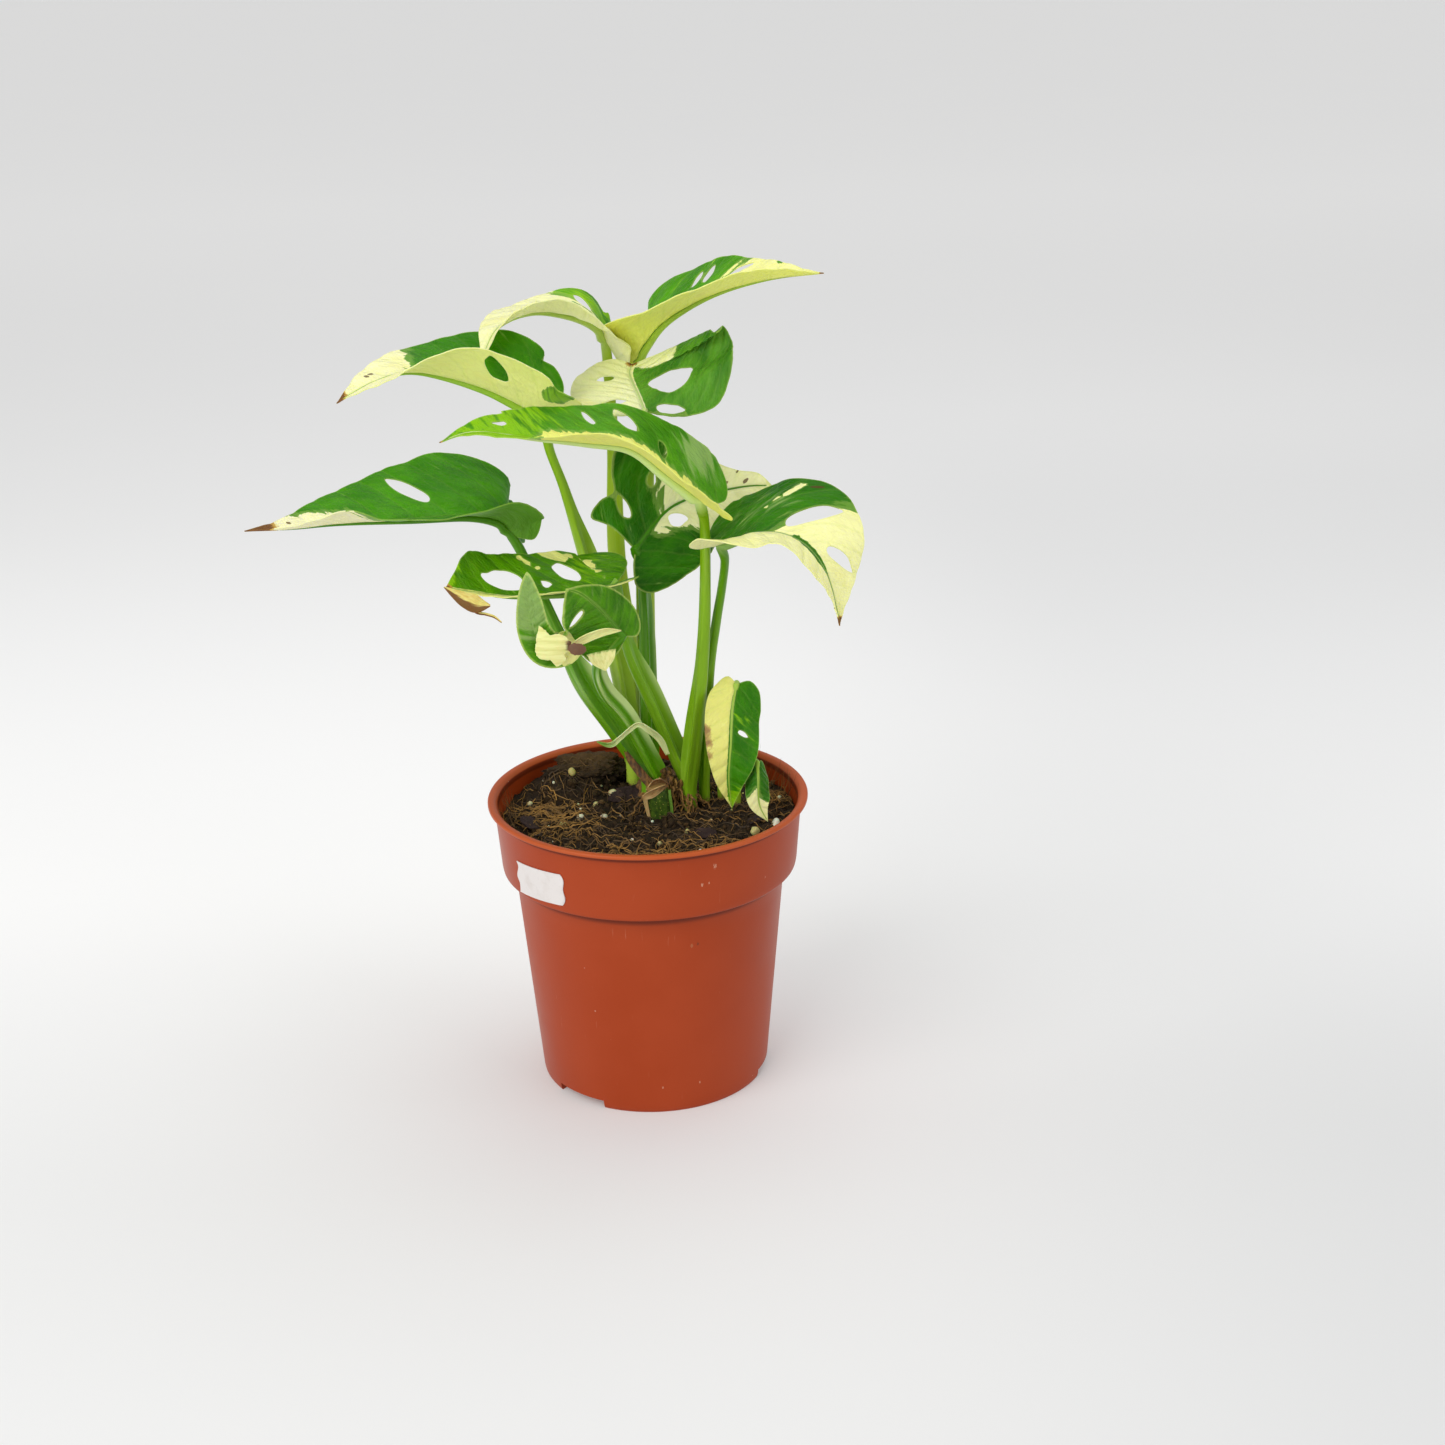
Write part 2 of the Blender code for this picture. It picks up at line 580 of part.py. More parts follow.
def make_label():
    """The blank sticker, bent round the rim band, with wavy cut ends."""
    slope = (BAND_TOP_RADIUS - BAND_FOOT_RADIUS) / (RIM_BAND - LIP_HEIGHT)
    columns = 7
    rows = 5
    top = POT_HEIGHT - LABEL_TOP_BELOW_RIM
    points = []
    for layer in (0, 1):
        for row in range(rows):
            for column in range(columns):
                share = row / (rows - 1)
                wave = 0.6 * math.sin(share * 2 * math.pi * 1.5)
                bulge = 1.3 * math.sin(share * math.pi) if column in (0, columns - 1) else 0.0
                across = (column / (columns - 1) - 0.5) * (LABEL_LENGTH - 1.2)
                if column == 0:
                    across += wave
                if column == columns - 1:
                    across += wave + bulge
                down = share * LABEL_HEIGHT - across * math.tan(math.radians(LABEL_TILT))
                radius = BAND_TOP_RADIUS - slope * (LABEL_TOP_BELOW_RIM - LIP_HEIGHT + down)
                radius += GAP + layer * LABEL_THICKNESS
                angle = math.radians(LABEL_ANGLE) + across / BAND_TOP_RADIUS
                points.append(Vector((radius * math.cos(angle), radius * math.sin(angle), top - down)))
    size = rows * columns
    faces = []
    for row in range(rows - 1):
        for column in range(columns - 1):
            a = row * columns + column
            faces.append((a + size, a + columns + size, a + columns + 1 + size, a + 1 + size))
            faces.append((a, a + 1, a + columns + 1, a + columns))
    rim = [column for column in range(columns)]
    rim += [row * columns + columns - 1 for row in range(1, rows)]
    rim += [(rows - 1) * columns + column for column in range(columns - 2, -1, -1)]
    rim += [row * columns for row in range(rows - 2, 0, -1)]
    for a, b in zip(rim, rim[1:] + rim[:1]):
        faces.append((a + size, b + size, b, a))
    label = new_object("price_label", points, faces)
    material(label, (0.85, 0.85, 0.84), 0.5)


def soil_height(x, y):
    """Height of the soil over a place: low mounds, a clod at the back left and small lumps."""
    height = SOIL_LEVEL + 1.6 * noise.noise(Vector((x * 0.045, y * 0.045, 3.0)))
    height += 1.1 * noise.noise(Vector((x * 0.16, y * 0.16, 9.0)))
    for cx, cy, radius, rise in SOIL_MOUNDS:
        height += rise * math.exp(-((x - cx) ** 2 + (y - cy) ** 2) / (radius * radius))
    return height


def make_soil(feet):
    """The soil: it fills the pot, with a rough top and a hole for each stem."""
    step = POT_HEIGHT - RIM_BAND
    top_radius = BAND_TOP_RADIUS - WALL - 3 * GAP
    sides = POT_SIDES
    ring = []
    for index in range(sides):
        angle = 2 * math.pi * index / sides
        ring.append((top_radius * math.cos(angle), top_radius * math.sin(angle)))
    flat, triangles = plan_mesh(ring, [], [], SOIL_STEP)
    points = [Vector((x, y, soil_height(x, y))) for x, y in flat]
    rim = [flat.index(min(flat, key=lambda place: math.dist(place, spot))) for spot in ring]
    faces = list(triangles)
    lower = [
        (BAND_FOOT_RADIUS - WALL - GAP, step + WALL + GAP), (BODY_TOP_RADIUS - WALL - GAP, step + WALL + GAP),
        (wall_radius(SOIL_FLOOR) - WALL - GAP, SOIL_FLOOR),
    ]
    previous = rim
    for radius, height in lower:
        ring_now = list(range(len(points), len(points) + sides))
        for index in range(sides):
            angle = 2 * math.pi * index / sides
            points.append(Vector((radius * math.cos(angle), radius * math.sin(angle), height)))
        for index in range(sides):
            follow = (index + 1) % sides
            faces.append((previous[index], ring_now[index], ring_now[follow], previous[follow]))
        previous = ring_now
    middle = len(points)
    points.append(Vector((0, 0, SOIL_FLOOR)))
    faces += [(previous[(index + 1) % sides], previous[index], middle) for index in range(sides)]
    soil = new_object("soil_body", points, faces)
    cutters = [round_cutter(spot, radius + GAP, HOLE_FLOOR, POT_HEIGHT + 20, 10) for spot, radius in feet]
    soil = combine("soil", soil, cutters, "DIFFERENCE")
    material(soil, (0.035, 0.02, 0.012), 0.95)


def stem_path(spec):
    """Centre line of a petiole from under the blade to the end of its foot, with its radii."""
    x, y = spec["foot"]
    above = list(spec["petiole"]) + [(x, y, FOOT_TOP)]
    curve, _ = even_curve(above, 2 * len(above) + 1)
    stated = spec["radii"] + (spec["radii"][-1],)
    radii = [at_share(stated, index / (len(curve) - 1)) for index in range(len(curve))]
    curve += [Vector((x, y, FOOT_STRAIGHT)), Vector((x, y, FOOT_END))]
    radii += [spec["radii"][-1]] * 2
    return curve, radii


def rib_path(blade, radius):
    """Centre line of the midrib's ridge under the blade, from near the tip to the base, with its radii."""
    count = max(4, round(blade.length * RIB_SHARE / RIB_STEP))
    path = []
    radii = []
    for index in range(count, 0, -1):
        share = RIB_SHARE * index / count
        origin, _, _, up = blade.frame(share)
        radii.append(radius * (1 - RIB_TAPER * share))
        path.append(origin - up * (radii[-1] - RIB_SINK))
    return path, radii


def make_sheet(name, spec):
    """A blade as a thin solid with its holes right through it."""
    blade = Blade(spec)
    left = blade.margin(1, MARGIN_STEP)
    right = blade.margin(-1, MARGIN_STEP)
    count = max(5, round(blade.length / BLADE_STEP))
    spine = [(blade.length * index / count, 0.0) for index in range(1, count)]
    flat, triangles = plan_mesh(right + left[-2:0:-1], blade.holes(HOLE_POINTS), spine, BLADE_STEP)
    surface = [blade.point(along, across) for along, across in flat]
    return new_object(name, *thick_sheet(surface, triangles, BLADE_THICKNESS)), blade


def make_leaf(name, spec):
    """A leaf: a pierced blade on its rib and petiole, joined in one solid."""
    sheet, blade = make_sheet(name + "_blade", spec)
    rib, rib_radii = rib_path(blade, spec["radii"][0])
    path, radii = stem_path(spec)
    others = [new_object(name + "_stem", *tube(rib + path, rib_radii + radii, STEM_SIDES, broad=STEM_BROAD))]
    if "lobe" in spec:
        others.append(make_sheet(name + "_lobe", spec["lobe"])[0])
    leaf = combine(name, sheet, others, "UNION", "MANIFOLD")
    material(leaf, (0.09, 0.25, 0.03), 0.4)


def make_vine_stem():
    """The short brown stem at soil level."""
    (x, y), radius = VINE_STEM
    path = [Vector((x, y, FOOT_END)), Vector((x, y, FOOT_STRAIGHT)), Vector((x - 0.5, y, 109.0)),
            Vector((x - 1.0, y - 0.5, 113.0)), Vector((x - 1.2, y - 0.5, 114.5))]
    stem = new_object("vine_stem", *tube(path, [radius, radius, radius + 0.5, radius, 1.2], 10))
    material(stem, (0.16, 0.09, 0.04), 0.8)


def make_cut_petiole():
    """The stub of a cut petiole, leaning back to the left."""
    (x, y), radius = CUT_PETIOLE
    path = [Vector((x, y, FOOT_END)), Vector((x, y, 104.0)), Vector((x - 1.0, y, 110.0)),
            Vector((x - 2.4, y + 0.5, 117.0))]
    stub = new_object("cut_petiole", *tube(path, [radius, radius, radius, radius * 0.9], 10, flatten=0.7))
    material(stub, (0.1, 0.2, 0.04), 0.6)


def build():
    """Clear the scene and model every piece."""
    for target in list(bpy.data.objects):
        bpy.data.objects.remove(target)
    feet = [(spec["foot"], spec["radii"][-1]) for spec in LEAVES.values()]
    feet += [VINE_STEM, CUT_PETIOLE]
    make_pot()
    make_label()
    make_soil(feet)
    make_vine_stem()
    make_cut_petiole()
    for name, spec in LEAVES.items():
        make_leaf(name, spec)
    for target in bpy.data.objects:
        smooth(target)


build()
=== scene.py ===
"""Looks of a potted variegated swiss cheese vine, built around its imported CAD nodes.

The tables are in millimetres, in the frame of the CAD: the origin is the middle of the pot's base, +Z is up
and the plant's front looks along -Y. Each finer piece repeats the form of the node that it replaces.
"""
import math

import bpy
import numpy as np
from mathutils import Matrix, Vector, noise
from mathutils.geometry import delaunay_2d_cdt


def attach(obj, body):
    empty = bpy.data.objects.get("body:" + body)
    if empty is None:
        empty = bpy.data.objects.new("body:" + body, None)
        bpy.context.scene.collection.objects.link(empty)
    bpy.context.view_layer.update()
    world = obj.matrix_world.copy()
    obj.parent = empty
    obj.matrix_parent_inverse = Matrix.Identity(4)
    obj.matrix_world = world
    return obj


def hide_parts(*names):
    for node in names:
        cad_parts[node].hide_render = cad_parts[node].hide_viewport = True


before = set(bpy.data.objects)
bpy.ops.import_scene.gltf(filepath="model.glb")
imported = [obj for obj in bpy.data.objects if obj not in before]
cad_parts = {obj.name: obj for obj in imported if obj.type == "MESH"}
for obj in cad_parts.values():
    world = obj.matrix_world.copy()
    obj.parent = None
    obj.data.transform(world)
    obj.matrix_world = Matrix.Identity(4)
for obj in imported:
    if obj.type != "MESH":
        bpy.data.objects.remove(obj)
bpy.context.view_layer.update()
MM = 0.001

# Camera, from the photograph's viewpoint
EYE = (0.0, -0.766, 0.424)
LENS = 54.81
SENSOR = 36.0
CAMERA_YAW = math.radians(2.13)
CAMERA_PITCH = math.radians(20.4)
CAMERA_ROLL = math.radians(-1.03)

# Pot
POT_HEIGHT = 112.0
RIM_RADIUS = 60.0
RIM_BAND = 27.6
LIP_HEIGHT = 1.6
BAND_TOP_RADIUS = 57.6
BAND_FOOT_RADIUS = 55.5
BODY_TOP_RADIUS = 51.0
BASE_RADIUS = 43.5
WALL = 1.5
LIP = 2.6
FOOT_WIDTH = 4.0
CENTRE_PAD_RADIUS = 24.0
CHANNEL_HEIGHT = 3.2
FLOOR_THICKNESS = 1.6
POT_SIDES = 180
NOTCH_ANGLES = (-132.0, -12.0, 108.0)
NOTCH_WIDTH = 22.0
DRAIN_COUNT = 6
DRAIN_RADIUS = 3.5
DRAIN_RING_RADIUS = 32.0
DRAIN_SIDES = 32
GAP = 0.35

# Label on the rim band
LABEL_LENGTH = 25.2
LABEL_HEIGHT = 12.6
LABEL_THICKNESS = 0.3
LABEL_ANGLE = -136.5
LABEL_TOP_BELOW_RIM = 12.4
LABEL_TILT = 4.0
LABEL_COLUMNS = 46
LABEL_ROWS = 26
LABEL_TONES = ((0.75, 0.71, 0.69), (0.68, 0.63, 0.6), (0.56, 0.52, 0.5))

# Soil
SOIL_LEVEL = 103.0
SOIL_FLOOR = 5.15
SOIL_STEP = 1.35
SOIL_SIDES = 160
SOIL_MOUNDS = ((-26, 30, 15, 6.5), (-36, 22, 9, 2.5), (30, 30, 14, 2.0), (-20, -30, 16, 1.5))
FOOT_TOP = 112.0
FOOT_END = 96.0

# Leaves
BLADE_THICKNESS = 0.42
# No blade reaches further back than the solids do
BACK_REACH = 70.44
BLADE_STEP = 1.9
MARGIN_STEP = 1.1
HOLE_STEP = 0.9
PETIOLE_SIDES = 32
RIB_END = 0.965
FOLD_RADIUS = 1.2
VEIN_LEAN = 0.62
VEIN_BEND = 0.006
VEIN_COUNT = 8
CURVE_STEPS = 120
SHARP_ANGLE = 50.0
QUILT_RISE = 0.45
WAVE_RISE = 1.3
RIB_DIP = 0.3

# Stem, cut petiole and dried scraps
BARK_SIDES = 28
STEM_RINGS = 44
STUB_RINGS = 26
ROOT_COUNT = 60
ROOT_RINGS = 16
RIBBON_COLUMNS = 7
PAPER_THICKNESS = 0.3
SCRAP_THICKNESS = 0.35

# Half outlines of a blade: how far along the midrib and how far out, as shares of length and half width
OVATE = ((0, 0), (-0.05, 0.12), (-0.11, 0.34), (-0.08, 0.62), (0.04, 0.88), (0.2, 1.0), (0.38, 0.97),
         (0.56, 0.8), (0.73, 0.52), (0.88, 0.2), (0.95, 0.07), (1.0, 0))
SLIM = ((0, 0), (-0.03, 0.14), (-0.06, 0.4), (0.0, 0.7), (0.14, 0.95), (0.3, 1.0), (0.5, 0.9),
        (0.68, 0.66), (0.84, 0.34), (0.94, 0.12), (1.0, 0))
BROAD = ((0, 0), (-0.08, 0.14), (-0.16, 0.4), (-0.13, 0.7), (0.02, 0.94), (0.22, 1.0), (0.45, 0.95),
         (0.68, 0.75), (0.86, 0.45), (0.96, 0.16), (1.0, 0))
ROUND = ((0, 0), (-0.05, 0.14), (-0.07, 0.4), (0.02, 0.7), (0.22, 0.92), (0.5, 1.0), (0.78, 1.0),
         (1.0, 0.86), (1.1, 0.6), (1.09, 0.3), (1.03, 0.1), (1.0, 0))
WRAPPED = ((0, 0), (-0.12, 0.2), (-0.2, 0.6), (-0.15, 0.95), (0.1, 1.0), (0.4, 0.95), (0.7, 1.0),
           (0.95, 0.85), (1.0, 0.4), (1.0, 0))
BLUNT = ((0, 0), (-0.08, 0.14), (-0.16, 0.4), (-0.13, 0.7), (0.02, 0.94), (0.22, 1.0), (0.45, 0.95),
         (0.68, 0.86), (0.84, 0.76), (0.92, 0.58), (0.96, 0.3), (1.0, 0))
STRAP = ((0, 0), (0.0, 0.6), (0.1, 0.95), (0.3, 1.0), (0.5, 0.88), (0.72, 0.7), (0.88, 0.42), (0.97, 0.16),
         (1.0, 0))
NOTCHED = ((0, 0), (0.03, 0.4), (0.0, 0.68), (0.11, 0.71), (0.19, 0.64), (0.26, 0.86), (0.33, 1.0),
           (0.47, 0.8), (0.65, 0.42), (0.8, 0.22), (0.92, 0.15), (1.0, 0))


def half(width, lift, curl=0.0, outline=OVATE, holes=()):
    """One side of a blade: half width, its lift angles from base to tip, and how much it curls upward.

    A hole is (share along, share out, length, width, heading from the midrib).
    """
    return {"width": width, "lift": lift, "curl": curl, "outline": outline, "holes": holes}


LEAVES = {
    "leaf_top_right": {
        "spine": ((1, 48, 265), (4, 44, 272), (12, 39, 282), (28, 31, 292), (47, 25, 298), (68, 19, 301)),
        "facing": (0, -0.1, 1),
        "left": half(26, (42, 26, 22, 20, 30),
                     holes=((0.4, 0.62, 9, 4, 70), (0.47, 0.58, 9, 4, 62), (0.63, 0.4, 11, 3.2, 25))),
        "right": half(20, (85, 24, 22, 36, 60), outline=SLIM),
        "petiole": ((1, 48, 265), (2, 49, 256), (1, 48, 220), (0, 45, 172)),
        "foot": (-0.5, 43.0),
        "radii": (1.5, 1.7, 2.2, 2.4),
    },
    "leaf_top_middle": {
        "spine": ((-11, 54, 272), (-13, 51, 278), (-22, 42, 284), (-36, 28, 288), (-48, 14, 285),
                  (-54, 5, 275)),
        "facing": (0, -0.2, 1),
        "left": half(20, (-10, -4, 24, 46, 60)),
        "right": half(22, (52, 6, -12, -12, 0), holes=((0.12, 0.6, 9, 3, 70), (0.3, 0.6, 10, 4, 60))),
        "petiole": ((-11, 54, 272), (-10, 54, 263), (-9, 50, 230), (-9, 44, 190), (-5, 40, 150)),
        "foot": (-5.5, 37.0),
        "radii": (1.6, 2.2, 3.2, 3.4, 3.2),
    },
    "leaf_upper_left": {
        "spine": ((-31, 10, 255), (-38, 8, 257), (-52, 5, 265), (-68, 2, 271), (-80, 0, 273), (-92, -3, 270),
                  (-104, -6, 264)),
        "facing": (0, 0, 1),
        "left": half(24, (32, 42, 38, 6, -14), holes=((0.325, 0.61, 14, 6.5, 53),)),
        "right": half(25, (72, 60, 28, 18, 40), outline=SLIM),
        "petiole": ((-31, 10, 255), (-32, 13, 243), (-27, 18, 225), (-20, 23, 197), (-11, 29, 159)),
        "foot": (-5.0, 29.5),
        "radii": (1.6, 1.8, 2.9, 3.6, 3.2),
    },
    "leaf_upper_centre": {
        "spine": ((3, 8, 255), (1, 17, 259), (-1, 26, 262), (-2, 34, 264), (-1, 40, 266)),
        "facing": (0, -0.3, 1),
        "left": half(23, (19, 13, 10, 5, 1), -39, outline=ROUND,
                     holes=((0.2, 0.45, 10, 3.5, 88), (0.72, 0.4, 7, 4, 80))),
        "right": half(39, (-17, 3, 0, 9, 14), 33, outline=ROUND,
                      holes=((0.43, 0.36, 17, 13, 75), (0.035, 0.25, 10.5, 4.2, 95))),
        "petiole": ((3, 8, 255), (5, 14, 250), (5, 24, 240), (4, 31, 220), (3, 34, 186)),
        "foot": (1.5, 36.0),
        "radii": (1.5, 1.7, 2.0, 2.2),
    },
    "leaf_middle_long": {
        "spine": ((21, -18, 229), (18, -19, 232), (10, -21, 239), (-2, -23, 249), (-17, -25, 252),
                  (-36, -28, 255), (-55, -30, 258), (-67, -31, 255)),
        "facing": (0, 0, 1),
        "left": half(20, (8, 10, 24, 4, -28)),
        "right": half(26, (54, 28, 20, 34, 36),
                      holes=((0.34, 0.64, 12, 4.5, 60), (0.2, 0.42, 8, 3.6, 65), (0.46, 0.62, 8, 2.6, 60),
                             (0.805, 0.385, 5.2, 1.7, -10), (0.787, 0.2, 5.2, 1.9, -12))),
        "petiole": ((21, -18, 229), (23, -9, 217), (23, -3, 195), (22, 0, 171), (19, 3, 139)),
        "foot": (15.5, 3.5),
        "radii": (1.7, 1.9, 2.2, 2.6, 3.0),
    },
    "leaf_dark_centre": {
        "spine": ((-2, 1, 206), (4, 5, 213), (11, 9, 219), (20, 13, 222), (30, 17, 223), (40, 19, 224),
                  (49, 19, 224)),
        "facing": (0, -1, 0.2),
        "left": half(29, (0, 0, 0, 0, 0), outline=NOTCHED,
                     holes=((0.16, 0.44, 9, 3.2, 69), (0.34, 0.43, 5, 2.2, 70))),
        "right": half(23, (-30, -10, 0, -25, -40), 6, outline=BROAD, holes=((0.34, 0.22, 9, 5, 17),)),
        "petiole": ((-2, 1, 206), (0, 7, 199), (1, 14, 183), (1, 20, 158), (1, 25, 132)),
        "foot": (1.5, 28.5),
        "radii": (1.7, 2.2, 2.8, 2.9),
    },
    "leaf_right": {
        "spine": ((28, -13, 211), (32, -15, 213), (41, -19, 217), (51, -23, 217), (59, -28, 213),
                  (65, -33, 204), (69, -36, 187)),
        "facing": (0.3, 0, 1),
        "left": half(31, (36, 29, 38, 28, 60),
                     holes=((0.44, 0.43, 19, 5.4, 60), (0.675, 0.28, 12.5, 4.6, 30))),
        "right": half(18, (14, -8, 0, -2, 6)),
        "petiole": ((28, -13, 211), (30, -8, 204), (29, -1, 191), (27, 4, 177), (24, 8, 154)),
        "foot": (21.5, 9.5),
        "radii": (1.5, 1.6, 1.8, 2.0, 2.1),
    },
    "leaf_large_left": {
        "spine": ((-48, 18, 209), (-51, 17, 214), (-62, 15, 217), (-82, 12, 217), (-108, 9, 217),
                  (-126, 7, 216), (-142, 6, 216)),
        "facing": (0, 0, 1),
        "left": half(20, (66, 24, 12, 14, 18, 32, 28, 18, 4), outline=SLIM),
        "right": half(34, (24, 30, 22, 17, 10), holes=((0.4, 0.5, 22, 6, 45),)),
        "petiole": ((-48, 18, 209), (-44, 18, 202), (-36, 18, 182), (-25, 16, 155), (-13, 15, 135)),
        "foot": (1.5, 14.0),
        "radii": (1.6, 1.9, 2.4, 4.2, 3.9),
    },
    "leaf_low_left": {
        "spine": ((-9, -2, 195), (-15, -5, 194), (-30, -10, 194), (-47, -15, 195), (-60, -18, 198),
                  (-69, -19, 200)),
        "facing": (0, 0, 1),
        "left": half(12, (18, 20, 18, 2, -30)),
        "right": half(26, (14, 18, 22, 30, 48), outline=BLUNT,
                      holes=((0.66, 0.33, 17, 10.5, 4), (0.4, 0.24, 4.5, 3.5, 60), (0.25, 0.5, 13, 8, 60))),
        "petiole": ((-9, -2, 195), (-8, 0, 184), (-5, 3, 167), (3, 8, 145)),
        "foot": (15.0, 11.5),
        "radii": (1.6, 2.2, 3.0, 3.1),
    },
    "leaf_twisted": {
        "spine": ((-7, -22, 181), (-14, -27, 192), (-21, -32, 200), (-26, -35, 203)),
        "facing": (0, -1, 0.3),
        "left": half(17, (-19, -1, 9, 18, 20), -9, outline=WRAPPED, holes=((0.7, 0.5, 8, 3, 70),)),
        "right": half(10, (7, 0, -6, -9, -11), -38),
        "petiole": ((-7, -22, 181), (-12, -20, 175), (-17, -14, 167), (-15, -6, 155), (-7, 1, 141)),
        "foot": (5.5, 7.5),
        "radii": (1.4, 1.8, 2.4, 2.4),
        "lobe": {
            "spine": ((-24, -36, 185), (-28, -38, 182), (-34, -40, 183), (-38, -41, 190), (-39, -41, 201),
                      (-39, -40, 211)),
            "facing": (0.2, -1, 0.1),
            "left": half(6, (10, 10, 0, 0, 0), outline=STRAP),
            "right": half(7, (10, 10, 0, 0, 0), outline=STRAP),
        },
    },
    "leaf_young": {
        "spine": ((34, 2, 153), (32, -5, 146), (31, -10, 134), (30, -12, 121), (31, -12, 109)),
        "facing": (0, -1, 0.2),
        "left": half(13, (-12, -38, -26, 4, 20), outline=SLIM, holes=((0.4, 0.4, 5, 2, 65),)),
        "right": half(10, (-20, -2, 0, 2, 10), outline=SLIM),
        "petiole": ((34, 2, 153), (34, 7, 151), (31, 12, 141), (29, 13, 125)),
        "foot": (28.0, 12.0),
        "radii": (1.1, 1.3, 1.5, 1.5),
    },
    "leaf_rim": {
        "spine": ((41, -6, 125), (41, -11, 121), (41, -15, 112), (44, -18, 106)),
        "facing": (0.2, -0.8, 0.5),
        "left": half(6, (-50, -48, -36, 10, 16), outline=SLIM),
        "right": half(6, (-70, -60, -44, -17, -18), outline=SLIM),
        "petiole": ((41, -6, 125), (39, -2, 124), (36, 3, 118)),
        "foot": (34.0, 5.0),
        "radii": (0.9, 1.1, 1.2),
    },
}

ALL_CREAM = ((2, 2, 2, 2, 2, 2), (2, 2, 2, 2, 2, 2))
ALL_GREEN = ((-2, -2, -2, -2, -2, -2), (-2, -2, -2, -2, -2, -2))

